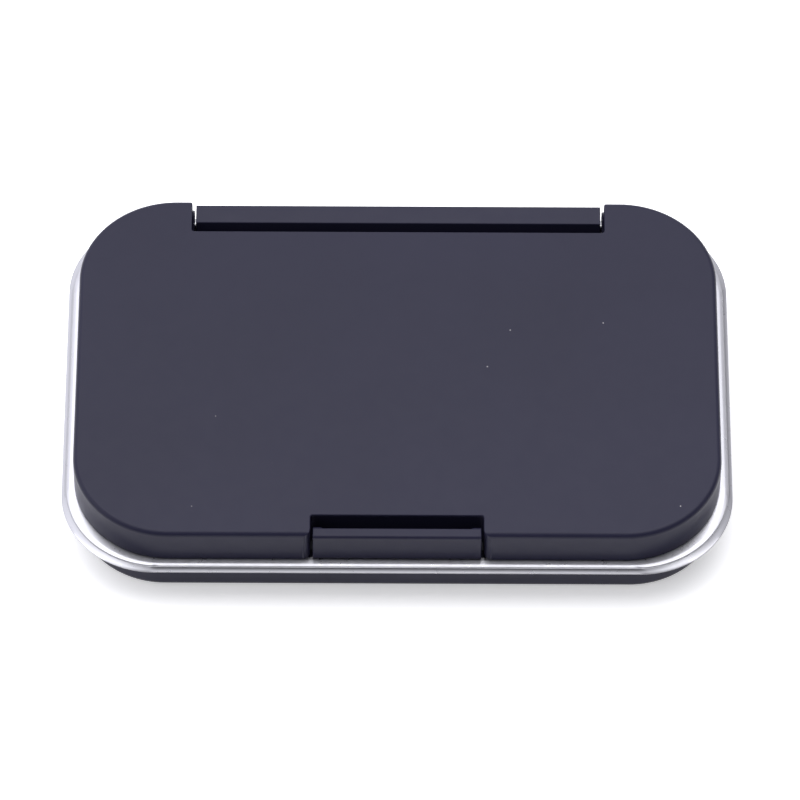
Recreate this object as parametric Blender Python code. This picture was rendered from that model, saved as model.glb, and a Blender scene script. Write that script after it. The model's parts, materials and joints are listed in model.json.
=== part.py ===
"""Pocket watercolour pan set: a closed, hinged plastic case with a metal trim ring between its lid and
its base, two rows of half pans, a travel brush and a mixing palette inside.

Metres, +Z up. The origin is the middle of the case's underside, -Y is the front with the press tab,
and +Y is the hinge side. The whole case is sized from the half pans that it has to hold.
"""

import math

import bmesh
import bpy
from mathutils import Matrix, Vector

MM = 0.001

# ---- half pans, the standard size that everything else follows --------------------------------------
PAN_LENGTH = 19.0 * MM
PAN_WIDTH = 15.8 * MM
PAN_HEIGHT = 9.5 * MM
PAN_WALL = 0.8 * MM
PAN_DRAFT = 0.7 * MM
PAN_CORNER = 1.8 * MM
PANS_PER_ROW = 6
CAKE_BELOW_RIM = 1.1 * MM
CAKE_CROWN = 0.35 * MM
CAKE_CORNER = 0.8 * MM

# ---- clearances --------------------------------------------------------------------------------------
GAP = 0.3 * MM
SLIDE_GAP = 0.3 * MM
SWING_GAP = 0.15 * MM
LAY_FLAT_GAP = 0.2 * MM
PIN_GAP = 0.25 * MM

# ---- the layout inside the case ---------------------------------------------------------------------
POCKET_WALL = 0.9 * MM
TROUGH_WIDTH = 11.0 * MM
END_MARGIN = 8.5 * MM
LATCH_BAY = 15.4 * MM
PANS_TO_HINGE_WALL = 0.72 * MM
PAN_ABOVE_RIM = 1.6 * MM
PALETTE_OVER_PANS = 1.5 * MM

# ---- case shells ------------------------------------------------------------------------------------
CORNER_RADIUS = 18.0 * MM
CORNER_STEPS = 10
FLOOR = 1.4 * MM
BASE_WALL = 2.2 * MM
BASE_DRAFT = 0.25 * MM
BASE_BOTTOM_RADIUS = 2.0 * MM
BASE_FOOT_WIDTH = 4.0 * MM
BASE_RECESS = 0.4 * MM
LID_WALL = 1.6 * MM
LID_TOP = 1.6 * MM
LID_EDGE_RADIUS = 0.7 * MM
FILLET_STEPS = 3

# ---- trim ring --------------------------------------------------------------------------------------
RING_PROUD = 2.3 * MM
RING_UPPER_BEAD = 1.3 * MM
RING_HEIGHT = 1.3 * MM
RING_GROOVE = 0.2 * MM
RING_BEAD_RADIUS = 0.25 * MM
RING_BEAD_TURN = 75
RING_CORNER_EASE = 1.7 * MM

# ---- hinge ------------------------------------------------------------------------------------------
HINGE_INSET = 3.0 * MM
HINGE_WALL_BELOW_AXIS = 1.0 * MM
BAR_LENGTH = 76.6 * MM
BAR_END_GAP = 0.7 * MM
BAR_THICKNESS = 4.0 * MM
BAR_BEHIND_AXIS = 2.0 * MM
BAR_BELOW_TOP = 0.1 * MM
BAR_EDGE_RADIUS = 0.35 * MM
BAR_WEB = 2.3 * MM
BAR_WEB_SET_BACK = 0.2 * MM
KNUCKLE_DEPTH = 7.0 * MM
BOSS_LENGTH = 5.0 * MM
BOSS_RADIUS = 2.2 * MM
PIN_RADIUS = 0.8 * MM
PIN_IN_BAR = 7.5 * MM
PIN_SEGMENTS = 20

# ---- latch ------------------------------------------------------------------------------------------
TAB_WIDTH = 31.0 * MM
TAB_THICKNESS = 2.1 * MM
TAB_BELOW_TOP = 0.9 * MM
TAB_SIDE_GAP = 0.45 * MM
TAB_SET_BACK = 0.1 * MM
LATCH_NOTCH_DEPTH = 4.5 * MM
NOTCH_EDGE_RADIUS = 1.5 * MM
GUSSET_WIDTH = 1.7 * MM
GUSSET_DEPTH = 0.8 * MM
BUTTON_TRAVEL = 1.2 * MM
LEG_THICKNESS = 1.2 * MM
LEG_WIDTH = 22.0 * MM
BRIDGE_HEIGHT = 1.25 * MM
TONGUE_THICKNESS = 1.4 * MM
TONGUE_BELOW_RIM = 1.8 * MM
TONGUE_WING = 1.3 * MM
HOOK_WIDTH = 10.0 * MM
HOOK_THICKNESS = 1.3 * MM
HOOK_ENGAGEMENT = 0.7 * MM
LUG_DEPTH = 1.1 * MM
LUG_HEIGHT = 1.0 * MM
NOSE_HEIGHT = 1.2 * MM
GUIDE_THICKNESS = 2.4 * MM
SPRING_LEG_WIDTH = 6.0 * MM
SPRING_LENGTH = 4.2 * MM
SPRING_RADIUS = 1.4 * MM
SPRING_WIRE = 0.2 * MM
SPRING_TURNS = 5
SPRING_STEPS = 12
SPRING_RIB_WIDTH = 8.0 * MM
SPRING_RIB_THICKNESS = 1.2 * MM

# ---- pan tray, palette and brush --------------------------------------------------------------------
DECK = 1.1 * MM
TRAY_SKIRT = 1.0 * MM
TROUGH_FLOOR = 0.8 * MM
POCKET_CORNER = 1.9 * MM
PALETTE_HEIGHT = 2.9 * MM
WELL_DEPTH = 2.1 * MM
WELL_RIDGE = 2.0 * MM
WELL_CORNER = 4.0 * MM
WELL_RIM = 2.4 * MM
LARGE_WELLS = 3
SMALL_WELLS = 5
SMALL_WELL_SHARE = 0.36
BRUSH_RADIUS = 3.0 * MM
BRUSH_END_ROOM = 8.0 * MM
BRUSH_NECK_SHARE = 0.75
HANDLE_LENGTH = 61.0 * MM
HANDLE_TIP_SHARE = 0.45
HANDLE_NOSE_SHARE = 0.62
HANDLE_BELLY_SHARE = 0.7
FERRULE_LENGTH = 16.0 * MM
FERRULE_WALL = 0.3 * MM
FERRULE_MOUTH_SHARE = 0.7
TUFT_LENGTH = 14.0 * MM
TUFT_SHOULDER_SHARE = 0.95
TUFT_SWELL = 0.25
TUFT_SWELL_TURNS = 1.6
TUFT_TAPER = 2.2
TENON_LENGTH = 5.0 * MM
BRUSH_SEGMENTS = 20

# ---- sizes that follow --------------------------------------------------------------------------------
POCKET_LENGTH = PAN_LENGTH + 2 * GAP
POCKET_WIDTH = PAN_WIDTH + 2 * GAP
POCKET_PITCH = POCKET_WIDTH + POCKET_WALL
ROW_HALF = (PANS_PER_ROW * POCKET_PITCH - POCKET_WALL) / 2
HALF_X = ROW_HALF + END_MARGIN

PAN_FOOT = FLOOR + GAP
PAN_TOP = PAN_FOOT + PAN_HEIGHT
RING_TOP = PAN_TOP - PAN_ABOVE_RIM
RING_BOTTOM = RING_TOP - RING_HEIGHT
BASE_SHOULDER = RING_BOTTOM - GAP
LID_BOTTOM = RING_TOP + GAP
PALETTE_BOTTOM = PAN_TOP + PALETTE_OVER_PANS
PALETTE_TOP = PALETTE_BOTTOM + PALETTE_HEIGHT
LID_UNDERSIDE = PALETTE_TOP + GAP
TOP = LID_UNDERSIDE + LID_TOP

AXIS_Z = (TOP + RING_TOP + LAY_FLAT_GAP) / 2
BAR_TOP = TOP - BAR_BELOW_TOP
BAR_CORNER_UP = BAR_TOP - BAR_EDGE_RADIUS - AXIS_Z
BAR_SWING = math.hypot(BAR_BEHIND_AXIS - BAR_EDGE_RADIUS, BAR_CORNER_UP) + BAR_EDGE_RADIUS
HINGE_BAY = PANS_TO_HINGE_WALL + LID_WALL + SWING_GAP + BAR_SWING + HINGE_INSET
CASE_DEPTH = LATCH_BAY + 2 * (POCKET_LENGTH + POCKET_WALL) + TROUGH_WIDTH + HINGE_BAY
HALF_Y = CASE_DEPTH / 2
AXIS_Y = HALF_Y - HINGE_INSET

FRONT_ROW_FRONT = -HALF_Y + LATCH_BAY
TROUGH_FRONT = FRONT_ROW_FRONT + POCKET_LENGTH + POCKET_WALL
TROUGH_REAR = TROUGH_FRONT + TROUGH_WIDTH
REAR_ROW_FRONT = TROUGH_REAR + POCKET_WALL
REAR_ROW_REAR = REAR_ROW_FRONT + POCKET_LENGTH

SWING_RADIUS = AXIS_Z - RING_TOP - SWING_GAP
LID_CORNER_BACK = HINGE_INSET - LID_EDGE_RADIUS
LID_CORNER_UP = TOP - LID_EDGE_RADIUS - AXIS_Z
CORNER_SWING = math.hypot(LID_CORNER_BACK, LID_CORNER_UP) + LID_EDGE_RADIUS + SWING_GAP
RING_SEAT = HINGE_INSET - math.sqrt(CORNER_SWING ** 2 - (AXIS_Z - RING_TOP) ** 2)
SPIGOT_TOP = AXIS_Z - CORNER_SWING
SPIGOT_OFFSET = -RING_SEAT - GAP
DECK_TOP = SPIGOT_TOP
BAR_REAR = AXIS_Y + BAR_BEHIND_AXIS
BAR_FRONT = BAR_REAR - BAR_THICKNESS
HINGE_NOTCH_HALF = BAR_LENGTH / 2 + BAR_END_GAP
HINGE_NOTCH_EDGE = AXIS_Y - BAR_SWING - SWING_GAP
HINGE_WALL_BOTTOM = AXIS_Z - HINGE_WALL_BELOW_AXIS

LATCH_NOTCH_HALF = TAB_WIDTH / 2 + TAB_SIDE_GAP
LATCH_NOTCH_EDGE = -HALF_Y + LATCH_NOTCH_DEPTH
LATCH_WALL_REAR = LATCH_NOTCH_EDGE + LID_WALL
TAB_FRONT = -HALF_Y + TAB_SET_BACK
TAB_REAR = TAB_FRONT + TAB_THICKNESS
TAB_BOTTOM = RING_TOP + GAP
LEG_FRONT = -HALF_Y + BASE_WALL + SLIDE_GAP
LEG_REAR = LEG_FRONT + LEG_THICKNESS
BRIDGE_TOP = TAB_BOTTOM + BRIDGE_HEIGHT
WINDOW_TOP = BRIDGE_TOP + SLIDE_GAP
TONGUE_TOP = RING_TOP - TONGUE_BELOW_RIM
TONGUE_BOTTOM = TONGUE_TOP - TONGUE_THICKNESS
LUG_REAR = LATCH_WALL_REAR + LUG_DEPTH
HOOK_FRONT = LUG_REAR + GAP
HOOK_REAR = HOOK_FRONT + HOOK_THICKNESS
NOSE_FRONT = LUG_REAR - HOOK_ENGAGEMENT
NOSE_BOTTOM = WINDOW_TOP + LUG_HEIGHT + GAP
NOSE_TOP = NOSE_BOTTOM + NOSE_HEIGHT
GUIDE_INNER = LEG_WIDTH / 2 + SLIDE_GAP
GUIDE_OUTER = GUIDE_INNER + GUIDE_THICKNESS
GUIDE_FRONT = -HALF_Y + BASE_WALL + LEG_THICKNESS
GUIDE_REAR = HOOK_REAR + BUTTON_TRAVEL + SLIDE_GAP
SPRING_AXIS_Z = (FLOOR + TONGUE_BOTTOM) / 2
SPRING_FRONT = LEG_REAR + GAP
SPRING_REAR = SPRING_FRONT + SPRING_LENGTH
RIB_FRONT = SPRING_REAR + GAP
RIB_REAR = RIB_FRONT + SPRING_RIB_THICKNESS

BEYOND = 5.0 * MM

PAINT_COLOURS = [
    ("lemon_yellow", (0.86, 0.72, 0.06)),
    ("golden_yellow", (0.84, 0.42, 0.03)),
    ("orange", (0.78, 0.16, 0.02)),
    ("scarlet", (0.60, 0.03, 0.02)),
    ("crimson", (0.26, 0.01, 0.03)),
    ("violet", (0.07, 0.02, 0.12)),
    ("ultramarine", (0.02, 0.03, 0.28)),
    ("sky_blue", (0.02, 0.16, 0.38)),
    ("viridian", (0.01, 0.13, 0.09)),
    ("sap_green", (0.06, 0.14, 0.02)),
    ("yellow_ochre", (0.38, 0.19, 0.04)),
    ("burnt_umber", (0.08, 0.03, 0.015)),
]


# ---- materials --------------------------------------------------------------------------------------
def principled(name, colour, roughness, metallic=0.0):
    """A plain Principled material, made once and shared by name."""
    found = bpy.data.materials.get(name)
    if found:
        return found
    made = bpy.data.materials.new(name)
    made.use_nodes = True
    shader = made.node_tree.nodes["Principled BSDF"]
    shader.inputs["Base Color"].default_value = (*colour, 1.0)
    shader.inputs["Roughness"].default_value = roughness
    shader.inputs["Metallic"].default_value = metallic
    return made


def case_plastic():
    return principled("case_plastic", (0.062, 0.062, 0.092), 0.45)


def trim_metal():
    return principled("trim_metal", (0.86, 0.86, 0.89), 0.12, 1.0)


def tray_plastic():
    return principled("tray_plastic", (0.045, 0.045, 0.062), 0.5)


def pan_plastic():
    return principled("pan_plastic", (0.82, 0.82, 0.80), 0.35)


def palette_plastic():
    return principled("palette_plastic", (0.86, 0.86, 0.85), 0.25)


def steel():
    return principled("steel", (0.60, 0.60, 0.62), 0.3, 1.0)


def lacquered_wood():
    return principled("lacquered_wood", (0.035, 0.04, 0.09), 0.25)


def brush_hair():
    return principled("brush_hair", (0.20, 0.09, 0.03), 0.6)


# ---- outlines, as lists of (x, y) -------------------------------------------------------------------
def rounded_rectangle(x_low, x_high, y_low, y_high, radius, steps=CORNER_STEPS):
    """Counter-clockwise outline of a rectangle whose corners are arcs."""
    points = []
    corners = [(x_high, y_high, 0), (x_low, y_high, 90), (x_low, y_low, 180), (x_high, y_low, 270)]
    for corner_x, corner_y, start in corners:
        centre_x = corner_x - math.copysign(radius, corner_x - (x_low + x_high) / 2)
        centre_y = corner_y - math.copysign(radius, corner_y - (y_low + y_high) / 2)
        for step in range(steps + 1):
            angle = math.radians(start + 90 * step / steps)
            points.append((centre_x + radius * math.cos(angle), centre_y + radius * math.sin(angle)))
    return points


def case_outline(offset):
    """The case's outline in plan, moved out (or in, if negative) by offset."""
    return rounded_rectangle(
        -HALF_X - offset, HALF_X + offset, -HALF_Y - offset, HALF_Y + offset, CORNER_RADIUS + offset
    )


# ---- solids -----------------------------------------------------------------------------------------
def finish_mesh(name, work, material):
    """Turn a bmesh into a named object with its faces pointing out."""
    bmesh.ops.recalc_face_normals(work, faces=work.faces)
    mesh = bpy.data.meshes.new(name)
    work.to_mesh(mesh)
    work.free()
    if material:
        mesh.materials.append(material)
    made = bpy.data.objects.new(name, mesh)
    bpy.context.scene.collection.objects.link(made)
    return made


def loft(name, sections, material=None):
    """Skin a stack of (outline, height) sections that all have as many points, and cap both ends."""
    work = bmesh.new()
    rings = [[work.verts.new((x, y, z)) for x, y in outline] for outline, z in sections]
    for lower, upper in zip(rings, rings[1:]):
        for index in range(len(lower)):
            after = (index + 1) % len(lower)
            work.faces.new((lower[index], lower[after], upper[after], upper[index]))
    work.faces.new(list(reversed(rings[0])))
    work.faces.new(rings[-1])
    return finish_mesh(name, work, material)


def prism(name, outline, z_low, z_high, material=None):
    return loft(name, [(outline, z_low), (outline, z_high)], material)


def box(name, x_low, x_high, y_low, y_high, z_low, z_high, material=None):
    outline = [(x_high, y_high), (x_low, y_high), (x_low, y_low), (x_high, y_low)]
    return prism(name, outline, z_low, z_high, material)


def prism_along_x(name, profile, x_low, x_high, material=None):
    """Extrude a closed (y, z) profile along X."""
    work = bmesh.new()
    near = [work.verts.new((x_low, y, z)) for y, z in profile]
    far = [work.verts.new((x_high, y, z)) for y, z in profile]
    for index in range(len(profile)):
        after = (index + 1) % len(profile)
        work.faces.new((near[index], near[after], far[after], far[index]))
    work.faces.new(near)
    work.faces.new(list(reversed(far)))
    return finish_mesh(name, work, material)


def turn_about_x(name, profile, centre, segments, material=None):
    """Turn an (x, radius) profile about a line along X; radius 0 makes a pole."""
    work = bmesh.new()
    rings = []
    for x, radius in profile:
        if radius == 0:
            rings.append([work.verts.new((x, centre[0], centre[1]))])
            continue
        ring = []
        for step in range(segments):
            angle = 2 * math.pi * step / segments
            y = centre[0] + radius * math.cos(angle)
            z = centre[1] + radius * math.sin(angle)
            ring.append(work.verts.new((x, y, z)))
        rings.append(ring)
    for first, second in zip(rings, rings[1:]):
        for step in range(segments):
            after = (step + 1) % segments
            if len(first) == 1:
                work.faces.new((first[0], second[after], second[step]))
            elif len(second) == 1:
                work.faces.new((first[step], first[after], second[0]))
            else:
                work.faces.new((first[step], first[after], second[after], second[step]))
    for ring in (rings[0], rings[-1]):
        if len(ring) > 1:
            work.faces.new(ring)
    made = finish_mesh(name, work, material)
    smooth(made)
    return made


def arc(centre_y, centre_z, radius, start, end, steps):
    """Points (y, z) along an arc, angles in degrees."""
    points = []
    for step in range(steps + 1):
        angle = math.radians(start + (end - start) * step / steps)
        points.append((centre_y + radius * math.cos(angle), centre_z + radius * math.sin(angle)))
    return points


def combine(target, tool, operation):
    """Apply one exact Boolean to target and remove the tool."""
    step = target.modifiers.new(operation, "BOOLEAN")
    step.object = tool
    step.operation = operation
    step.solver = "EXACT"
    graph = bpy.context.evaluated_depsgraph_get()
    result = bpy.data.meshes.new_from_object(target.evaluated_get(graph))
    target.modifiers.clear()
    spent = target.data
    target.data = result
    bpy.data.meshes.remove(spent)
    used = tool.data
    bpy.data.objects.remove(tool)
    bpy.data.meshes.remove(used)
    return target


def cut(target, *tools):
    for tool in tools:
        combine(target, tool, "DIFFERENCE")
    return target


def join(target, *tools):
    for tool in tools:
        combine(target, tool, "UNION")
    return target


def smooth(made, angle=35):
    made.data.shade_smooth()
    made.data.set_sharp_from_angle(angle=math.radians(angle))


def place(made, point, parent=None):
    """Put the object's origin at point, leave its shape where it is, and hang it on parent."""
    made.data.transform(Matrix.Translation(-Vector(point)))
    hang(made, point, parent)


def hang(made, point, parent):
    made.location = Vector(point)
    if parent:
        made.parent = parent
        made.location -= parent.location


def pivot(name, point):
    empty = bpy.data.objects.new(name, None)
    empty.location = point
    bpy.context.scene.collection.objects.link(empty)
    return empty


def mirrored(maker):
    """Make a piece at the right (+1) and the left (-1)."""
    return [maker(side) for side in (1, -1)]


def span(side, inner, outer):
    """The low and high X of a stretch that lies from inner to outer on one side."""
    ends = (side * inner, side * outer)
    return min(ends), max(ends)


# ---- base -------------------------------------------------------------------------------------------
def base_sections():
    """The base's outer skin: rounded foot, slightly drafted wall, shoulder and spigot for the ring."""
    sections = []
    for step in range(FILLET_STEPS + 1):
        angle = math.radians(90 * step / FILLET_STEPS)
        inset = BASE_DRAFT + BASE_BOTTOM_RADIUS * (1 - math.sin(angle))
        sections.append((case_outline(-inset), BASE_BOTTOM_RADIUS * (1 - math.cos(angle))))
    sections.append((case_outline(0.0), BASE_SHOULDER))
    sections.append((case_outline(SPIGOT_OFFSET), BASE_SHOULDER))
    sections.append((case_outline(SPIGOT_OFFSET), SPIGOT_TOP))
    return sections


def pin_bore(low, high):
    """A hole on the hinge axis that a pin turns in."""
    radius = PIN_RADIUS + PIN_GAP
    return turn_about_x("bore", [(low, radius), (high, radius)], (AXIS_Y, AXIS_Z), PIN_SEGMENTS)


def hinge_bar():
    """The long knuckle that stands up from the base and fills the lid's rear notch, with its web."""
    half = BAR_LENGTH / 2
    radius = BAR_EDGE_RADIUS
    low = BAR_TOP - KNUCKLE_DEPTH
    profile = arc(BAR_REAR - radius, BAR_TOP - radius, radius, 0, 90, FILLET_STEPS)
    profile += arc(BAR_FRONT + radius, BAR_TOP - radius, radius, 90, 180, FILLET_STEPS)
    profile += arc(BAR_FRONT + radius, low + radius, radius, 180, 270, FILLET_STEPS)
    profile += [(BAR_REAR, low)]
    bar = prism_along_x("bar", profile, -half, half)
    web_rear = BAR_REAR - BAR_WEB_SET_BACK
    join(bar, box("web", -half, half, BAR_REAR - BAR_WEB, web_rear, FLOOR / 2, low + BAR_WEB))
    for side in (1, -1):
        inner, outer = span(side, half - PIN_IN_BAR - GAP, half + BEYOND)
        cut(bar, pin_bore(inner, outer))
    return bar


def button_guide(side):
    """A post beside the latch button whose groove holds a wing of the button's tongue."""
    low, high = span(side, GUIDE_INNER, GUIDE_OUTER)
    post = box("guide", low, high, GUIDE_FRONT, GUIDE_REAR, FLOOR / 2, DECK_TOP)
    low, high = span(side, 0, LEG_WIDTH / 2 + TONGUE_WING + SLIDE_GAP)
    groove = box(
        "groove", low, high, GUIDE_FRONT - BEYOND, GUIDE_REAR + BEYOND,
        TONGUE_BOTTOM - SLIDE_GAP, TONGUE_TOP + SLIDE_GAP,
    )
    return cut(post, groove)


def spring_rib():
    """The rib that the button's return spring pushes against."""
    half = SPRING_RIB_WIDTH / 2
    return box("rib", -half, half, RIB_FRONT, RIB_REAR, FLOOR / 2, TONGUE_BOTTOM - SLIDE_GAP)


def make_base():
    base = loft("base_shell", base_sections(), case_plastic())
    cut(base, prism("hollow", case_outline(-BASE_WALL), FLOOR, RING_TOP + BEYOND))
    recess = case_outline(-BASE_BOTTOM_RADIUS - BASE_FOOT_WIDTH)
    cut(base, prism("recess", recess, -BEYOND, BASE_RECESS))
    join(base, hinge_bar(), spring_rib(), *mirrored(button_guide))
    smooth(base)
    return base


# ---- trim ring --------------------------------------------------------------------------------------
def ring_profile():
    """Closed (offset, height) section: flat ledge, upper bead, groove and a prouder lower bead."""
    bead = RING_BEAD_RADIUS
    ledge = arc(RING_UPPER_BEAD - bead, RING_TOP - bead, bead, 90, 0, FILLET_STEPS)
    step_z = RING_TOP - RING_HEIGHT / 2
    groove = [
        (RING_UPPER_BEAD - RING_GROOVE, step_z + bead / 2),
        (RING_UPPER_BEAD + RING_GROOVE, step_z),
    ]
    middle_z = (step_z + RING_BOTTOM) / 2
    lower_radius = (step_z - RING_BOTTOM) / 2
    bead_centre = RING_PROUD - lower_radius
    lower = arc(bead_centre, middle_z, lower_radius, RING_BEAD_TURN, -RING_BEAD_TURN, 2 * FILLET_STEPS)
    foot = [(RING_PROUD - 2 * lower_radius, RING_BOTTOM), (-RING_SEAT, RING_BOTTOM)]
    return [(-RING_SEAT, RING_TOP)] + ledge + groove + lower + foot


def ring_outline(offset):
    """The case's outline grown by offset, with rounder corners the further out it lies."""
    ease = RING_CORNER_EASE * max(0.0, offset) / RING_PROUD
    return rounded_rectangle(
        -HALF_X - offset, HALF_X + offset, -HALF_Y - offset, HALF_Y + offset, CORNER_RADIUS + offset + ease
    )


def make_ring():
    """Carry the ring's section round the case's outline."""
    work = bmesh.new()
    rings = []
    for offset, height in ring_profile():
        rings.append([work.verts.new((x, y, height)) for x, y in ring_outline(offset)])
    for number, ring in enumerate(rings):
        following = rings[(number + 1) % len(rings)]
        for index in range(len(ring)):
            after = (index + 1) % len(ring)
            work.faces.new((ring[index], ring[after], following[after], following[index]))
    made = finish_mesh("trim_ring", work, trim_metal())
    smooth(made)
    return made


# ---- lid --------------------------------------------------------------------------------------------
def lid_sections():
    """The lid's outer skin: straight wall and rounded top edge."""
    sections = [(case_outline(0.0), LID_BOTTOM)]
    for step in range(FILLET_STEPS + 1):
        angle = math.radians(90 * step / FILLET_STEPS)
        inset = LID_EDGE_RADIUS * (1 - math.cos(angle))
        height = TOP - LID_EDGE_RADIUS * (1 - math.sin(angle))
        sections.append((case_outline(-inset), height))
    return sections


def latch_notch(name, half, edge, z_low, z_high):
    """The front notch's plan, with the lid's upright edges rounded where the notch opens."""
    radius = NOTCH_EDGE_RADIUS
    mouth = -HALF_Y
    points = [(half, edge), (-half, edge)]
    for x, y in arc(-half - radius, mouth + radius, radius, 0, -90, FILLET_STEPS):
        points.append((x, y))
    points.append((-half - radius, mouth - BEYOND))
    points.append((half + radius, mouth - BEYOND))
    for x, y in arc(half + radius, mouth + radius, radius, -90, -180, FILLET_STEPS):
        points.append((x, y))
    return prism(name, points, z_low, z_high)


def lid_hollow():
    """The space under the lid, kept a wall's thickness away from both notches."""
    hollow = prism("hollow", case_outline(-LID_WALL), LID_BOTTOM - BEYOND, LID_UNDERSIDE)
    front_half = LATCH_NOTCH_HALF + LID_WALL
    rear_half = HINGE_NOTCH_HALF + LID_WALL
    low = LID_BOTTOM - 2 * BEYOND
    cut(
        hollow,
        box("front", -front_half, front_half, -HALF_Y - BEYOND, LATCH_WALL_REAR, low, TOP + BEYOND),
        box("rear", -rear_half, rear_half, HINGE_NOTCH_EDGE - LID_WALL, HALF_Y + BEYOND, low, TOP + BEYOND),
    )
    return hollow


def swing_relief():
    """What the lid's rear edge must lose to turn down past the trim ring."""
    profile = [(AXIS_Y, AXIS_Z - SWING_RADIUS - BEYOND), (HALF_Y + BEYOND, AXIS_Z - SWING_RADIUS - BEYOND)]
    profile += [(HALF_Y + BEYOND, AXIS_Z)]
    profile += arc(AXIS_Y, AXIS_Z, SWING_RADIUS, 0, -90, 4 * FILLET_STEPS)
    return prism_along_x("relief", profile, -HALF_X - BEYOND, HALF_X + BEYOND)


def lid_boss(side):
    """The boss inside the lid's rear ear that carries a hinge pin."""
    start = HINGE_NOTCH_HALF + LID_WALL / 2
    low, high = span(side, start, start + BOSS_LENGTH)
    profile = [(AXIS_Y + BOSS_RADIUS, LID_UNDERSIDE + LID_TOP / 2)]
    profile += [(AXIS_Y - BOSS_RADIUS, LID_UNDERSIDE + LID_TOP / 2)]
    profile += arc(AXIS_Y, AXIS_Z, BOSS_RADIUS, 180, 360, 4 * FILLET_STEPS)
    return prism_along_x("boss", profile, low, high)


def lid_collar(side):
    """The round face that the ear bears on the end of the hinge bar with, a gap away from it."""
    low, high = span(side, BAR_LENGTH / 2 + GAP, HINGE_NOTCH_HALF + LID_WALL / 2)
    profile = [(low, BOSS_RADIUS), (high, BOSS_RADIUS)]
    return turn_about_x("collar", profile, (AXIS_Y, AXIS_Z), PIN_SEGMENTS)


def lid_pin_bore(side):
    near = BAR_LENGTH / 2
    far = HINGE_NOTCH_HALF + LID_WALL + BOSS_LENGTH
    return pin_bore(*span(side, near, far))


def latch_lug():
    """The lug on the lid's front inner wall that the button's hook holds down."""
    half = HOOK_WIDTH / 2
    rear = LATCH_WALL_REAR
    chamfer = LUG_HEIGHT / 2
    profile = [
        (rear - LID_WALL / 2, WINDOW_TOP),
        (LUG_REAR - chamfer, WINDOW_TOP),
        (LUG_REAR, WINDOW_TOP + chamfer),
        (LUG_REAR, WINDOW_TOP + LUG_HEIGHT),
        (rear - LID_WALL / 2, WINDOW_TOP + LUG_HEIGHT),
    ]
    return prism_along_x("lug", profile, -half, half)


def make_lid(parent):
    lid = loft("lid_shell", lid_sections(), case_plastic())
    low = LID_BOTTOM - BEYOND
    high = TOP + BEYOND
    rear_half = HINGE_NOTCH_HALF
    cut(
        lid,
        lid_hollow(),
        latch_notch("front", LATCH_NOTCH_HALF, LATCH_NOTCH_EDGE, low, high),
        box("rear", -rear_half, rear_half, HINGE_NOTCH_EDGE, HALF_Y + BEYOND, low, high),
        box(
            "rear_wall_foot", -rear_half, rear_half, HINGE_NOTCH_EDGE - LID_WALL - GAP, HALF_Y + BEYOND,
            low, HINGE_WALL_BOTTOM,
        ),
        box(
            "window", -GUIDE_INNER, GUIDE_INNER, LATCH_NOTCH_EDGE - GAP, LATCH_WALL_REAR + GAP,
            low, WINDOW_TOP,
        ),
        swing_relief(),
    )
    join(lid, latch_lug(), *mirrored(lid_boss), *mirrored(lid_collar))
    cut(lid, *mirrored(lid_pin_bore))
    smooth(lid)
    place(lid, (0.0, AXIS_Y, AXIS_Z), parent)
    return lid


def well(name, x_low, x_high, y_low, y_high):
    outline = rounded_rectangle(x_low, x_high, y_low, y_high, WELL_CORNER, 2 * FILLET_STEPS)
    return prism(name, outline, PALETTE_BOTTOM - BEYOND, PALETTE_BOTTOM + WELL_DEPTH)


def well_row(count, half_x, y_low, y_high):
    """A row of equal wells between -half_x and half_x, a ridge apart."""
    width = (2 * half_x - (count - 1) * WELL_RIDGE) / count
    wells = []
    for number in range(count):
        start = -half_x + number * (width + WELL_RIDGE)
        wells.append(well("well", start, start + width, y_low, y_high))
    return wells


def make_palette(parent):
    """The white insert in the lid: large wells beside the hinge, small ones beside the latch."""
    outline = case_outline(-LID_WALL - GAP)
    palette = prism("mixing_palette", outline, PALETTE_BOTTOM, PALETTE_TOP, palette_plastic())
    rear = HINGE_NOTCH_EDGE - LID_WALL - GAP
    latch_half = LATCH_NOTCH_HALF + LID_WALL + GAP
    front = LATCH_WALL_REAR + GAP
    hook_half = HOOK_WIDTH / 2 + 2 * GAP
    hook_clear = HOOK_REAR + BUTTON_TRAVEL + GAP
    low = PALETTE_BOTTOM - BEYOND
    high = PALETTE_TOP + BEYOND
    cut(
        palette,
        box("rear", -HALF_X, HALF_X, rear, HALF_Y, low, high),
        box("latch", -latch_half, latch_half, -HALF_Y, front, low, high),
        box("hook", -hook_half, hook_half, -HALF_Y, hook_clear, low, high),
    )
    depth_room = rear - WELL_RIM - (hook_clear + WELL_RIM) - WELL_RIDGE
    small_front = hook_clear + WELL_RIM
    small_rear = small_front + SMALL_WELL_SHARE * depth_room
    large_front = small_rear + WELL_RIDGE
    cut(palette, *well_row(LARGE_WELLS, ROW_HALF, large_front, rear - WELL_RIM))
    cut(palette, *well_row(SMALL_WELLS, ROW_HALF, small_front, small_rear))
    smooth(palette)
    place(palette, (0.0, AXIS_Y, AXIS_Z), parent)
    return palette


def make_hinge_pin(side):
    """A steel pin, fixed in the lid's boss and turning in the end of the hinge bar."""
    name = "hinge_pin_right" if side > 0 else "hinge_pin_left"
    inner = BAR_LENGTH / 2 - PIN_IN_BAR
    outer = HINGE_NOTCH_HALF + LID_WALL / 2 + BOSS_LENGTH
    low, high = span(side, inner, outer)
    profile = [(low, PIN_RADIUS), (high, PIN_RADIUS)]
    pin = turn_about_x(name, profile, (AXIS_Y, AXIS_Z), PIN_SEGMENTS, steel())
    place(pin, (side * (inner + outer) / 2, AXIS_Y, AXIS_Z))
    return pin


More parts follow.
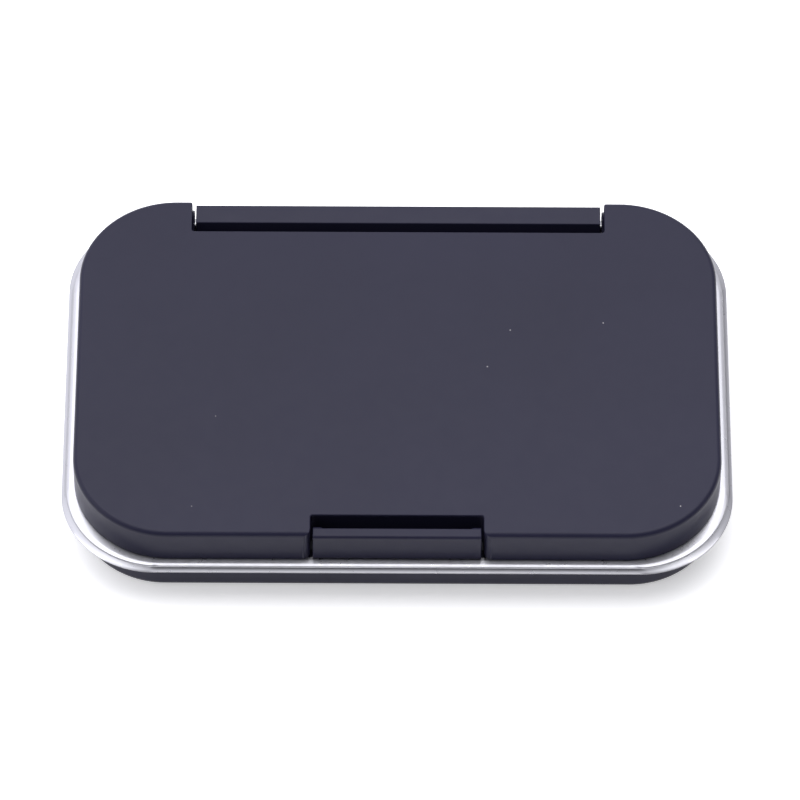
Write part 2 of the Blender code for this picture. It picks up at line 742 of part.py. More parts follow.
# ---- latch button -----------------------------------------------------------------------------------
def button_gusset(side):
    low, high = span(side, TAB_WIDTH / 2 - GUSSET_WIDTH, TAB_WIDTH / 2)
    profile = [
        (TAB_REAR - TAB_THICKNESS / 2, TAB_BOTTOM),
        (TAB_REAR + GUSSET_DEPTH, TAB_BOTTOM),
        (TAB_REAR + GUSSET_DEPTH, TOP - TAB_BELOW_TOP - 2 * GUSSET_DEPTH),
        (TAB_REAR - TAB_THICKNESS / 2, TOP - TAB_BELOW_TOP - GUSSET_DEPTH / 2),
    ]
    return prism_along_x("gusset", profile, low, high)


def button_hook():
    """The upright behind the lid's front wall, with a nose that reaches forward over the lug."""
    half = HOOK_WIDTH / 2
    profile = [
        (HOOK_REAR, TONGUE_BOTTOM),
        (HOOK_REAR, NOSE_TOP),
        (HOOK_FRONT, NOSE_TOP),
        (NOSE_FRONT, NOSE_BOTTOM + NOSE_HEIGHT / 3),
        (NOSE_FRONT, NOSE_BOTTOM),
        (HOOK_FRONT, NOSE_BOTTOM),
        (HOOK_FRONT, TONGUE_BOTTOM),
    ]
    return prism_along_x("hook", profile, -half, half)


def make_button():
    """Press tab, its leg through the case's rim, a guided tongue, a hook and a foot for the spring."""
    slide = pivot("button_slide", (0.0, TAB_FRONT, (TAB_BOTTOM + TOP) / 2))
    half = TAB_WIDTH / 2
    radius = TAB_THICKNESS / 4
    top = TOP - TAB_BELOW_TOP
    profile = [(TAB_REAR, TAB_BOTTOM), (TAB_REAR, top)]
    profile += arc(TAB_FRONT + radius, top - radius, radius, 90, 180, FILLET_STEPS)
    profile += [(TAB_FRONT, TAB_BOTTOM)]
    button = prism_along_x("latch_button", profile, -half, half, case_plastic())
    leg_half = LEG_WIDTH / 2
    foot_half = SPRING_LEG_WIDTH / 2
    wing_half = leg_half + TONGUE_WING
    join(
        button,
        *mirrored(button_gusset),
        box("bridge", -leg_half, leg_half, TAB_REAR - TAB_THICKNESS / 2, LEG_REAR, TAB_BOTTOM, BRIDGE_TOP),
        box("leg", -leg_half, leg_half, LEG_FRONT, LEG_REAR, TONGUE_BOTTOM, BRIDGE_TOP),
        box("tongue", -leg_half, leg_half, LEG_FRONT, HOOK_REAR, TONGUE_BOTTOM, TONGUE_TOP),
        box("wings", -wing_half, wing_half, GUIDE_FRONT + SLIDE_GAP, HOOK_REAR, TONGUE_BOTTOM, TONGUE_TOP),
        button_hook(),
        box("foot", -foot_half, foot_half, LEG_FRONT, LEG_REAR, FLOOR + SLIDE_GAP, TONGUE_TOP),
    )
    smooth(button)
    place(button, slide.location, slide)
    return button


def make_spring():
    """The compression spring behind the button's foot."""
    curve = bpy.data.curves.new("latch_spring", "CURVE")
    curve.dimensions = "3D"
    curve.bevel_depth = SPRING_WIRE
    curve.bevel_resolution = 1
    curve.use_fill_caps = True
    count = SPRING_TURNS * SPRING_STEPS + 1
    spline = curve.splines.new("POLY")
    spline.points.add(count - 1)
    coil_length = SPRING_LENGTH - 2 * SPRING_WIRE
    for number, point in enumerate(spline.points):
        share = number / (count - 1)
        angle = 2 * math.pi * SPRING_TURNS * share
        along = -SPRING_LENGTH / 2 + SPRING_WIRE + coil_length * share
        point.co = (SPRING_RADIUS * math.cos(angle), along, SPRING_RADIUS * math.sin(angle), 1.0)
    curve.materials.append(steel())
    made = bpy.data.objects.new("latch_spring", curve)
    made.location = (0.0, (SPRING_FRONT + SPRING_REAR) / 2, SPRING_AXIS_Z)
    bpy.context.scene.collection.objects.link(made)
    return made


# ---- pan tray ---------------------------------------------------------------------------------------
def pocket_places():
    """The middle of each pocket in plan, the front row first, left to right."""
    places = []
    for row_front in (FRONT_ROW_FRONT, REAR_ROW_FRONT):
        for column in range(PANS_PER_ROW):
            x = -ROW_HALF + POCKET_WIDTH / 2 + column * POCKET_PITCH
            places.append((x, row_front + POCKET_LENGTH / 2))
    return places


def make_tray():
    """A deck with a through pocket for each pan and a trough for the brush, on thin skirts."""
    tray = prism("pan_tray", case_outline(-BASE_WALL - GAP), PAN_FOOT, DECK_TOP, tray_plastic())
    latch_half = GUIDE_OUTER + GAP
    latch_rear = max(GUIDE_REAR, RIB_REAR) + GAP
    bar_half = BAR_LENGTH / 2 + GAP
    bar_front = BAR_FRONT - GAP
    low = PAN_FOOT - BEYOND
    high = DECK_TOP + BEYOND
    cut(
        tray,
        box("latch", -latch_half, latch_half, -HALF_Y, latch_rear, low, high),
        box("bar", -bar_half, bar_half, bar_front, HALF_Y, low, high),
    )
    hollow = prism("hollow", case_outline(-BASE_WALL - GAP - TRAY_SKIRT), low, DECK_TOP - DECK)
    edge = POCKET_WALL
    cut(
        hollow,
        box(
            "rows", -ROW_HALF - edge, ROW_HALF + edge, FRONT_ROW_FRONT - edge, REAR_ROW_REAR + edge,
            low - BEYOND, high,
        ),
        box(
            "latch", -latch_half - TRAY_SKIRT, latch_half + TRAY_SKIRT, -HALF_Y, latch_rear + TRAY_SKIRT,
            low - BEYOND, high,
        ),
        box(
            "bar", -bar_half - TRAY_SKIRT, bar_half + TRAY_SKIRT, bar_front - TRAY_SKIRT, HALF_Y,
            low - BEYOND, high,
        ),
    )
    cut(tray, hollow)
    for x, y in pocket_places():
        outline = rounded_rectangle(
            x - POCKET_WIDTH / 2, x + POCKET_WIDTH / 2, y - POCKET_LENGTH / 2, y + POCKET_LENGTH / 2,
            POCKET_CORNER, FILLET_STEPS,
        )
        cut(tray, prism("pocket", outline, low, high))
    trough = rounded_rectangle(-ROW_HALF, ROW_HALF, TROUGH_FRONT, TROUGH_REAR, POCKET_CORNER, FILLET_STEPS)
    cut(tray, prism("trough", trough, PAN_FOOT + TROUGH_FLOOR, high))
    smooth(tray)
    return tray


def pan_outline(inset):
    """A pan's plan about its own middle, inset from its rim by that much on every side."""
    half_x = PAN_WIDTH / 2 - inset
    half_y = PAN_LENGTH / 2 - inset
    radius = PAN_CORNER - inset / 2
    return rounded_rectangle(-half_x, half_x, -half_y, half_y, radius, FILLET_STEPS)


def pan_mesh():
    """One open half pan about its own foot: tapered outside, tapered inside, floor closed."""
    pan = loft("pan", [(pan_outline(PAN_DRAFT), 0.0), (pan_outline(0.0), PAN_HEIGHT)], pan_plastic())
    over = PAN_DRAFT * BEYOND / PAN_HEIGHT
    inner_foot = pan_outline(PAN_DRAFT * (1 - PAN_WALL / PAN_HEIGHT) + PAN_WALL)
    inner_top = pan_outline(PAN_WALL - over)
    cut(pan, loft("inside", [(inner_foot, PAN_WALL), (inner_top, PAN_HEIGHT + BEYOND)]))
    smooth(pan)
    return keep_mesh(pan)


def cake_mesh():
    """One cake of paint about its pan's foot, a gap clear of the pan, its top a little crowned."""
    foot_z = PAN_WALL + GAP
    edge_z = PAN_HEIGHT - CAKE_BELOW_RIM
    sections = []
    for height, extra in ((foot_z, 0.0), (edge_z, 0.0), (edge_z + CAKE_CROWN, CAKE_CORNER)):
        draft = PAN_DRAFT * (1 - min(height, edge_z) / PAN_HEIGHT)
        sections.append((pan_outline(PAN_WALL + GAP + draft + extra), height))
    cake = loft("cake", sections, principled("paint", (0.5, 0.5, 0.5), 0.5))
    smooth(cake)
    return keep_mesh(cake)


def keep_mesh(made):
    """Keep a finished shape for its copies and remove the object that it was made on."""
    mesh = made.data
    bpy.data.objects.remove(made)
    return mesh


def make_pans():
    pan = pan_mesh()
    cake = cake_mesh()
    for (x, y), (colour_name, colour) in zip(pocket_places(), PAINT_COLOURS):
        holder = bpy.data.objects.new("pan_" + colour_name, pan)
        paint = bpy.data.objects.new("paint_" + colour_name, cake)
        for made in (holder, paint):
            made.location = (x, y, PAN_FOOT)
            bpy.context.scene.collection.objects.link(made)
        paint.material_slots[0].link = "OBJECT"
        paint.material_slots[0].material = principled("paint_" + colour_name, colour, 0.5)


# ---- travel brush -----------------------------------------------------------------------------------
def make_brush():
    """A short round brush lying in the trough, its tuft to the right."""
    centre = ((TROUGH_FRONT + TROUGH_REAR) / 2, PAN_FOOT + TROUGH_FLOOR + GAP + BRUSH_RADIUS)
    start = -ROW_HALF + BRUSH_END_ROOM
    shoulder = start + HANDLE_LENGTH
    neck = BRUSH_RADIUS * BRUSH_NECK_SHARE
    tip = BRUSH_RADIUS * HANDLE_TIP_SHARE
    nose = BRUSH_RADIUS * HANDLE_NOSE_SHARE
    handle = [(start, 0.0), (start + BRUSH_RADIUS / 3, tip), (start + BRUSH_RADIUS, nose)]
    belly = start + HANDLE_LENGTH * HANDLE_BELLY_SHARE
    steps = 4 * FILLET_STEPS
    for step in range(1, steps + 1):
        share = step / steps
        x = start + BRUSH_RADIUS + (shoulder - start - BRUSH_RADIUS) * share
        swell = math.sin(math.pi / 2 * min(1.0, (x - start) / (belly - start)))
        late = max(0.0, (x - belly) / (shoulder - belly))
        radius = nose + (BRUSH_RADIUS - nose) * swell - (BRUSH_RADIUS - neck) * late ** 2
        handle.append((x, radius))
    tenon = neck - FERRULE_WALL - GAP
    handle += [(shoulder, tenon), (shoulder + TENON_LENGTH, tenon)]
    turn_about_x("brush_handle", handle, centre, BRUSH_SEGMENTS, lacquered_wood())

    ferrule_start = shoulder + GAP
    ferrule_end = ferrule_start + FERRULE_LENGTH
    mouth = neck * FERRULE_MOUTH_SHARE
    ferrule = turn_about_x(
        "brush_ferrule", [(ferrule_start, neck), (ferrule_end, mouth)], centre, BRUSH_SEGMENTS, steel()
    )
    over = (neck - mouth) * BEYOND / FERRULE_LENGTH
    bore = turn_about_x(
        "bore",
        [
            (ferrule_start - BEYOND, neck - FERRULE_WALL + over),
            (ferrule_end + BEYOND, mouth - FERRULE_WALL - over),
        ],
        centre, BRUSH_SEGMENTS,
    )
    cut(ferrule, bore)
    smooth(ferrule)

    root = mouth - FERRULE_WALL - GAP
    tuft = [(ferrule_end - TENON_LENGTH, root), (ferrule_end, root)]
    tuft.append((ferrule_end + GAP, mouth * TUFT_SHOULDER_SHARE))
    steps = 3 * FILLET_STEPS
    for step in range(1, steps):
        share = step / steps
        swell = 1 + TUFT_SWELL * math.sin(math.pi * min(1.0, share * TUFT_SWELL_TURNS))
        radius = mouth * swell * (1 - share ** TUFT_TAPER)
        tuft.append((ferrule_end + GAP + TUFT_LENGTH * share, radius))
    tuft.append((ferrule_end + GAP + TUFT_LENGTH, 0.0))
    turn_about_x("brush_tuft", tuft, centre, BRUSH_SEGMENTS, brush_hair())


# ---- the whole set ----------------------------------------------------------------------------------
def clear_scene():
    for existing in list(bpy.data.objects):
        bpy.data.objects.remove(existing)


def main():
    clear_scene()
    make_base()
    make_ring()
    lid_pivot = pivot("lid_pivot", (0.0, AXIS_Y, AXIS_Z))
    make_lid(lid_pivot)
    make_palette(lid_pivot)
    mirrored(make_hinge_pin)
    make_button()
    make_spring()
    make_tray()
    make_pans()
    make_brush()


main()
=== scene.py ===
import json
import math
import random

import bmesh
import bpy
from mathutils import Matrix, Vector, noise


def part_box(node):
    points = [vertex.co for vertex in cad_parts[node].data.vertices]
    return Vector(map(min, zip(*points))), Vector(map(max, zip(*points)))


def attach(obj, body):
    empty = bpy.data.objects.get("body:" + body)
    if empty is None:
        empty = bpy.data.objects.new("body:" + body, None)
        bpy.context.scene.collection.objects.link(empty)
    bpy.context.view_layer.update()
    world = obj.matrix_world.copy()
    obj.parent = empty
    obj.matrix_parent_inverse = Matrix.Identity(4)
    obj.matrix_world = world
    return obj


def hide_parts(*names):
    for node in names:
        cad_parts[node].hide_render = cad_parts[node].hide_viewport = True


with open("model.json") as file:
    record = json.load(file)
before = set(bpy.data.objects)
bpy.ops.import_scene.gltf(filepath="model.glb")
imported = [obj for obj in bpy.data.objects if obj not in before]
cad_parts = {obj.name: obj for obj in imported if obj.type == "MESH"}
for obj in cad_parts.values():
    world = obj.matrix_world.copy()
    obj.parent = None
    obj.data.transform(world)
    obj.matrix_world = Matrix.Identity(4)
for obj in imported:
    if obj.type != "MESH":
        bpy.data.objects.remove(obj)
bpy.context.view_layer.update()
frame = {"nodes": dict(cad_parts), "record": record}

MM = 0.001


# ---- sizes read from the frame ----
LID_LOW, LID_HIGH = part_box("lid_shell")
BASE_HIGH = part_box("base_shell")[1]
RING_LOW, RING_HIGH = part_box("trim_ring")
BUTTON_LOW, BUTTON_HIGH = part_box("latch_button")
PALETTE_LOW, PALETTE_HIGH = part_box("mixing_palette")
TRAY_LOW, TRAY_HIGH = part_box("pan_tray")
HANDLE_LOW, HANDLE_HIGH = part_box("brush_handle")
FERRULE_LOW, FERRULE_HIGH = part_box("brush_ferrule")
TUFT_LOW, TUFT_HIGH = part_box("brush_tuft")
SPRING_LOW, SPRING_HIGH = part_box("latch_spring")
JOINTS = {joint["name"]: joint for joint in frame["record"]["behaviour"]["joints"]}
AXIS_Y, AXIS_Z = JOINTS["lid_hinge"]["pos_m"][1:]
TRAVEL = JOINTS["button_press"]["range_m"][1]
PANS = sorted(name for name in frame["nodes"] if name.startswith("pan_") and name != "pan_tray")

HALF_X = LID_HIGH[0]
HALF_Y = LID_HIGH[1]
TOP = LID_HIGH[2]
LID_BOTTOM = LID_LOW[2]
RING_TOP = RING_HIGH[2]
RING_BOTTOM = RING_LOW[2]
RING_PROUD = RING_HIGH[0] - HALF_X
BAR_TOP = BASE_HIGH[2]

# ---- sizes of the design ----
GAP = 0.3 * MM
SEAM = 0.06 * MM
BEYOND = 5.0 * MM
EDGE_BREAK = 0.12 * MM
BIG_STEPS = 30
SMALL_STEPS = 6
FILLET_STEPS = 8

CORNER_RADIUS = 18.0 * MM
LID_WALL = 1.6 * MM
LID_TOP = 1.6 * MM
LID_EDGE_RADIUS = 1.0 * MM
LID_INNER_RADIUS = 0.8 * MM
LID_MOUTH_BEVEL = 0.2 * MM
FLOOR = 1.4 * MM
BASE_WALL = 2.2 * MM
BASE_DRAFT = 0.25 * MM
BASE_FOOT_RADIUS = 2.0 * MM
BASE_SHOULDER_RADIUS = 0.25 * MM
BASE_CORNER_RADIUS = CORNER_RADIUS - 1.0 * MM
BASE_INNER_RADIUS = 1.0 * MM
SPIGOT_RADIUS = 0.2 * MM
RECESS_INSET = 5.7 * MM
RECESS_BEVEL = 0.5 * MM
RECESS_DEPTH = 0.4 * MM
RING_SEAT = 0.517 * MM
RING_CORNER_EASE = 1.7 * MM
RING_FOOT = 1.9 * MM

HINGE_NOTCH_HALF = 39.0 * MM
HINGE_NOTCH_EDGE = AXIS_Y - 4.28 * MM
HINGE_WALL_BOTTOM = AXIS_Z - 1.0 * MM
EAR_RADIUS = 1.1 * MM
SWING_RADIUS = AXIS_Z - RING_TOP - 0.15 * MM
BAR_HALF = 38.3 * MM
BAR_REAR = AXIS_Y + 2.0 * MM
BAR_FRONT = BAR_REAR - 4.0 * MM
BAR_EDGE_RADIUS = 0.35 * MM
BAR_END_RADIUS = 0.45 * MM
BAR_FRONT_RADIUS = 0.22 * MM
BAR_LEAN = 0.40 * MM
BAR_LEAN_DEPTH = 3.4 * MM
KNUCKLE_DEPTH = 7.0 * MM
BAR_WEB = 2.3 * MM
WEB_SET_BACK = 0.2 * MM
BOSS_LENGTH = 5.0 * MM
BOSS_RADIUS = 2.2 * MM
COLLAR_RADIUS = 2.8 * MM
BORE_RADIUS = 1.05 * MM
BORE_SEGMENTS = 40
PIN_IN_BAR = 7.5 * MM
PIN_CHAMFER = 0.2 * MM

TAB_HALF = BUTTON_HIGH[0]
TAB_THICKNESS = 2.1 * MM
TAB_FRONT_RADIUS = 0.6 * MM
TAB_REAR_RADIUS = 0.2 * MM
TAB_END_RADIUS = 0.3 * MM
TAB_ROOT = 0.8 * MM
GUSSET_DEPTH = 0.8 * MM
GUSSET_WIDTH = 1.7 * MM
LATCH_NOTCH_HALF = TAB_HALF + 0.45 * MM
LATCH_NOTCH_DEPTH = 4.5 * MM
LATCH_NOTCH_EDGE = -HALF_Y + LATCH_NOTCH_DEPTH
NOTCH_EDGE_RADIUS = 1.5 * MM
NOTCH_INNER_RADIUS = 0.5 * MM
LATCH_WALL_REAR = LATCH_NOTCH_EDGE + LID_WALL
LATCH_REAR = BUTTON_HIGH[1] + TRAVEL + GAP
LEG_HALF = 11.0 * MM
LEG_THICKNESS = 1.2 * MM
LEG_FRONT = -HALF_Y + BASE_WALL + GAP
LEG_REAR = LEG_FRONT + LEG_THICKNESS
TAB_BOTTOM = RING_TOP + GAP
BRIDGE_TOP = TAB_BOTTOM + 1.25 * MM
WINDOW_TOP = BRIDGE_TOP + GAP
TONGUE_TOP = RING_TOP - 1.8 * MM
TONGUE_BOTTOM = TONGUE_TOP - 1.4 * MM
TONGUE_WING = 1.3 * MM
HOOK_HALF = 5.0 * MM
HOOK_THICKNESS = 1.3 * MM
HOOK_ENGAGEMENT = 0.7 * MM
HOOK_SIDE_ROOM = 0.6 * MM
LUG_DEPTH = 1.1 * MM
LUG_HEIGHT = 1.0 * MM
LUG_BEVEL = 0.5 * MM
NOSE_HEIGHT = 1.2 * MM
NOSE_BEVEL = 0.4 * MM
FOOT_HALF = 3.0 * MM
GUIDE_INNER = LEG_HALF + GAP
GUIDE_THICKNESS = 2.4 * MM
GUIDE_FRONT = -HALF_Y + BASE_WALL + LEG_THICKNESS
RIB_HALF = 4.0 * MM
RIB_THICKNESS = 1.2 * MM
SPRING_WIRE = 0.2 * MM
SPRING_TURNS = 5
SPRING_STEPS = 28

PALETTE_REAR_RADIUS = 6.0 * MM
PALETTE_CUT_RADIUS = 0.6 * MM
PALETTE_EDGE = 0.3 * MM
WELLS_HALF = 51.45 * MM
WELL_RIDGE = 2.0 * MM
WELL_MARGIN = 2.4 * MM
WELL_DEPTH = 2.1 * MM
WELL_CORNER = 4.0 * MM
WELL_RIM = 0.35 * MM
WELL_FLOOR_RADIUS = 1.3 * MM
SMALL_WELL_SHARE = 0.36

TRAY_DECK = 1.1 * MM
TRAY_SKIRT = 1.0 * MM
TRAY_EDGE = 0.3 * MM
TRAY_CUT_RADIUS = 0.8 * MM
TRAY_LATCH_HALF = 14.0 * MM
POCKET_WALL = 0.9 * MM
POCKET_CORNER = 1.9 * MM
TROUGH_FLOOR = 0.8 * MM
TROUGH_RADIUS = 1.2 * MM
PAN_DRAFT = 0.7 * MM
PAN_WALL = 0.8 * MM
PAN_CORNER = 1.8 * MM
PAN_FOOT_RADIUS = 0.6 * MM
PAN_INNER_RADIUS = 0.9 * MM
RIM_STEPS = 8
CAKE_BELOW_RIM = 1.0 * MM
CAKE_DISH = 0.55 * MM
CAKE_RINGS = 22

BRUSH_SEGMENTS = 56
TENON_WALL = 0.65 * MM
FERRULE_WALL = 0.25 * MM
FERRULE_MOUTH_SHARE = 0.7
CRIMPS = (0.14, 0.22, 0.52)
CRIMP_WIDTH = 0.022
CRIMP_DEPTH = 0.16 * MM
HAIRS = 260
HAIR_STEPS = 12


# ---- nodes and materials ----
class Look:
    """A Principled material with short calls for the nodes that every finish here uses."""

    def __init__(self, name, colour, roughness, metallic=0.0, **sockets):
        self.made = bpy.data.materials.new(name)
        self.made.use_nodes = True
        self.nodes = self.made.node_tree.nodes
        self.links = self.made.node_tree.links
        self.shader = self.nodes["Principled BSDF"]
        self.shader.inputs["Base Color"].default_value = (*colour, 1.0)
        self.shader.inputs["Roughness"].default_value = roughness
        self.shader.inputs["Metallic"].default_value = metallic
        for socket, value in sockets.items():
            self.shader.inputs[socket.replace("_", " ")].default_value = value
        self.place = self.nodes.new("ShaderNodeTexCoord").outputs["Object"]
        self.bumps = None

    def join(self, output, socket):
        self.links.new(output, socket)

    def stretched(self, scale):
        """Object coordinates stretched by a factor on each axis."""
        mapping = self.nodes.new("ShaderNodeMapping")
        mapping.inputs["Scale"].default_value = scale
        self.join(self.place, mapping.inputs["Vector"])
        return mapping.outputs["Vector"]

    def noise(self, scale, detail=2.0, rough=0.5, place=None):
        made = self.nodes.new("ShaderNodeTexNoise")
        made.inputs["Scale"].default_value = scale
        made.inputs["Detail"].default_value = detail
        made.inputs["Roughness"].default_value = rough
        self.join(place or self.place, made.inputs["Vector"])
        return made.outputs["Fac"]

    def ramp(self, value, low, high, start=0.3, end=0.7):
        """A value turned into one between low and high, over the stretch from start to end."""
        made = self.nodes.new("ShaderNodeMapRange")
        made.inputs["From Min"].default_value = start
        made.inputs["From Max"].default_value = end
        made.inputs["To Min"].default_value = low
        made.inputs["To Max"].default_value = high
        self.join(value, made.inputs["Value"])
        return made.outputs["Result"]

    def mix(self, share, first, second):
        """A colour between first and second, which are colours or outputs."""
        made = self.nodes.new("ShaderNodeMix")
        made.data_type = "RGBA"
        for socket, value in ((made.inputs[6], first), (made.inputs[7], second)):
            if isinstance(value, tuple):
                socket.default_value = (*value, 1.0)
            else:
                self.join(value, socket)
        self.join(share, made.inputs[0])
        return made.outputs[2]

    def times(self, first, second):
        made = self.nodes.new("ShaderNodeMath")
        made.operation = "MULTIPLY"
        self.join(first, made.inputs[0])
        self.join(second, made.inputs[1])
        return made.outputs[0]

    def colour(self, output):
        self.join(output, self.shader.inputs["Base Color"])

    def roughness(self, output):
        self.join(output, self.shader.inputs["Roughness"])

    def drift(self, colour, low, high, field):
        """Base colour that wanders between two tints of one colour."""
        self.colour(self.mix(self.ramp(field, 0.0, 1.0), tint(colour, low), tint(colour, high)))

    def uneven(self, low, high, field):
        """Roughness that wanders between two values."""
        self.roughness(self.ramp(field, low, high))

    def bump(self, height, strength, distance):
        """Add a layer of surface relief, distance in metres."""
        made = self.nodes.new("ShaderNodeBump")
        made.inputs["Strength"].default_value = strength
        made.inputs["Distance"].default_value = distance
        self.join(height, made.inputs["Height"])
        if self.bumps:
            self.join(self.bumps, made.inputs["Normal"])
        self.bumps = made.outputs["Normal"]
        self.join(self.bumps, self.shader.inputs["Normal"])


def tint(colour, factor):
    return tuple(min(1.0, channel * factor) for channel in colour)


def case_look():
    """Satin dark plastic: spark-eroded grain, slight colour drift, a few grains of dust on top."""
    colour = (0.0168, 0.0164, 0.0350)
    look = Look("case_plastic_look", colour, 0.34, Specular_IOR_Level=0.165)
    body = look.mix(look.ramp(look.noise(22.0, 3.0), 0.0, 1.0), tint(colour, 0.93), tint(colour, 1.07))
    cells = look.nodes.new("ShaderNodeTexVoronoi")
    cells.voronoi_dimensions = "2D"
    cells.inputs["Scale"].default_value = 95.0
    look.join(look.place, cells.inputs["Vector"])
    grain = look.ramp(cells.outputs["Distance"], 1.0, 0.0, 0.008, 0.014)
    chosen = look.ramp(cells.outputs["Color"], 0.0, 1.0, 0.80, 0.82)
    facing = look.nodes.new("ShaderNodeSeparateXYZ")
    geometry = look.nodes.new("ShaderNodeNewGeometry")
    look.join(geometry.outputs["Normal"], facing.inputs["Vector"])
    upward = look.ramp(facing.outputs["Z"], 0.0, 1.0, 0.90, 0.98)
    dust = look.times(look.times(grain, chosen), upward)
    look.colour(look.mix(dust, body, (0.42, 0.41, 0.42)))
    look.uneven(0.31, 0.38, look.noise(420.0, 3.0))
    look.bump(look.noise(6500.0, 2.0, 0.6), 0.10, 0.02 * MM)
    look.bump(look.noise(60.0, 1.0), 0.04, 0.25 * MM)
    return look.made


def trim_look():
    """Bright plating with faint unevenness along the band."""
    look = Look("trim_metal_look", (0.455, 0.455, 0.48), 0.29, 1.0)
    look.uneven(0.27, 0.33, look.noise(900.0, 3.0))
    look.bump(look.noise(160.0, 2.0), 0.05, 0.05 * MM)
    return look.made


def tray_look():
    """The insert's matt dark plastic."""
    colour = (0.026, 0.026, 0.036)
    look = Look("tray_plastic_look", colour, 0.55, Specular_IOR_Level=0.4)
    look.drift(colour, 0.9, 1.12, look.noise(30.0, 3.0))
    look.uneven(0.48, 0.62, look.noise(700.0, 2.0))
    look.bump(look.noise(4200.0, 2.0, 0.6), 0.16, 0.03 * MM)
    return look.made


def pan_look():
    """White moulded pan plastic, a little translucent."""
    colour = (0.62, 0.62, 0.605)
    look = Look("pan_plastic_look", colour, 0.32, Subsurface_Weight=0.15, Subsurface_Scale=1.0 * MM)
    look.drift(colour, 0.96, 1.02, look.noise(120.0, 3.0))
    look.uneven(0.26, 0.40, look.noise(600.0, 2.0))
    look.bump(look.noise(1500.0, 2.0), 0.05, 0.03 * MM)
    return look.made


def palette_look():
    """Glossy white moulding that beads water."""
    colour = (0.60, 0.60, 0.59)
    look = Look("palette_plastic_look", colour, 0.16, Coat_Weight=0.3, Coat_Roughness=0.08)
    look.drift(colour, 0.975, 1.01, look.noise(45.0, 2.0))
    look.uneven(0.12, 0.24, look.noise(380.0, 3.0))
    look.bump(look.noise(90.0, 1.0), 0.05, 0.15 * MM)
    return look.made


def steel_look():
    """Drawn steel or nickel, with fine lines round the piece."""
    look = Look("steel_look", (0.62, 0.62, 0.64), 0.26, 1.0)
    lines = look.noise(60.0, 3.0, 0.7, look.stretched((60.0, 1.0, 1.0)))
    look.uneven(0.18, 0.34, lines)
    look.bump(lines, 0.06, 0.02 * MM)
    return look.made


def lacquer_look():
    """Deep blue lacquer over turned wood."""
    colour = (0.016, 0.022, 0.075)
    look = Look("lacquered_wood_look", colour, 0.30, Coat_Weight=1.0, Coat_Roughness=0.05)
    lengthwise = look.noise(40.0, 3.0, 0.6, look.stretched((1.0, 14.0, 14.0)))
    look.drift(colour, 0.75, 1.35, lengthwise)
    look.bump(lengthwise, 0.06, 0.03 * MM)
    return look.made


def hair_look():
    """Brown brush hair, darker and lighter from hair to hair."""
    colour = (0.17, 0.075, 0.028)
    look = Look("brush_hair_look", colour, 0.42, Sheen_Weight=0.2)
    strands = look.noise(320.0, 3.0, 0.7, look.stretched((0.06, 6.0, 6.0)))
    look.drift(colour, 0.45, 1.7, strands)
    look.bump(strands, 0.5, 0.05 * MM)
    return look.made


def paint_look(name, colour):
    """Dry pressed watercolour: granular, a little glossy from its gum, mottled."""
    look = Look(name + "_look", colour, 0.5, Specular_IOR_Level=0.5, Coat_Weight=0.12, Coat_Roughness=0.25)
    mottle = look.ramp(look.noise(260.0, 4.0, 0.6), 0.0, 1.0)
    grains = look.ramp(look.noise(3600.0, 2.0, 0.7), 0.0, 1.0, 0.42, 0.72)
    body = look.mix(mottle, tint(colour, 0.58), tint(colour, 0.84))
    look.colour(look.mix(grains, body, colour))
    look.uneven(0.36, 0.66, look.noise(900.0, 3.0))
    look.bump(look.noise(2600.0, 3.0, 0.65), 0.30, 0.05 * MM)
    look.bump(look.noise(420.0, 2.0), 0.20, 0.20 * MM)
    return look.made


def floor_look():
    """Plain pale sweep."""
    look = Look("floor_look", (0.90, 0.90, 0.90), 0.75, Specular_IOR_Level=0.2, Emission_Strength=0.42)
    look.shader.inputs["Emission Color"].default_value = (1.0, 1.0, 1.0, 1.0)
    patches = look.ramp(look.noise(3.0, 2.0), 0.0, 1.0)
    look.colour(look.mix(patches, (0.895, 0.895, 0.90), (0.905, 0.905, 0.905)))
    return look.made


# ---- outlines ----
def rounded_polygon(corners, inset=0.0):
    """Outline of a right-angled polygon whose corners are (x, y, radius, steps), anticlockwise.

    The outline is moved inwards by inset: outer corners tighten and inner corners widen by as much.
    """
    count = len(corners)
    points = []
    for index, (x, y, radius, steps) in enumerate(corners):
        before = Vector(corners[index - 1][:2])
        after = Vector(corners[(index + 1) % count][:2])
        here = Vector((x, y))
        into = (here - before).normalized()
        out = (after - here).normalized()
        turn = into.x * out.y - into.y * out.x
        corner = here + inset * (Vector((-into.y, into.x)) + Vector((-out.y, out.x)))
        fitted = max(0.02 * MM, radius - math.copysign(inset, turn) if turn else radius)
        centre = corner + fitted * (out - into)
        start = math.atan2((-out).y, (-out).x)
        for step in range(steps + 1):
            angle = start + math.copysign(math.pi / 2, turn) * step / steps
            points.append((centre.x + fitted * math.cos(angle), centre.y + fitted * math.sin(angle)))
    return points


def rectangle(x_low, x_high, y_low, y_high, radius, steps):
    """Corners of a rectangle with equal radii, for rounded_polygon."""
    return [
        (x_high, y_high, radius, steps),
        (x_low, y_high, radius, steps),
        (x_low, y_low, radius, steps),
        (x_high, y_low, radius, steps),
    ]


def case_corners():
    return rectangle(-HALF_X, HALF_X, -HALF_Y, HALF_Y, CORNER_RADIUS, BIG_STEPS)


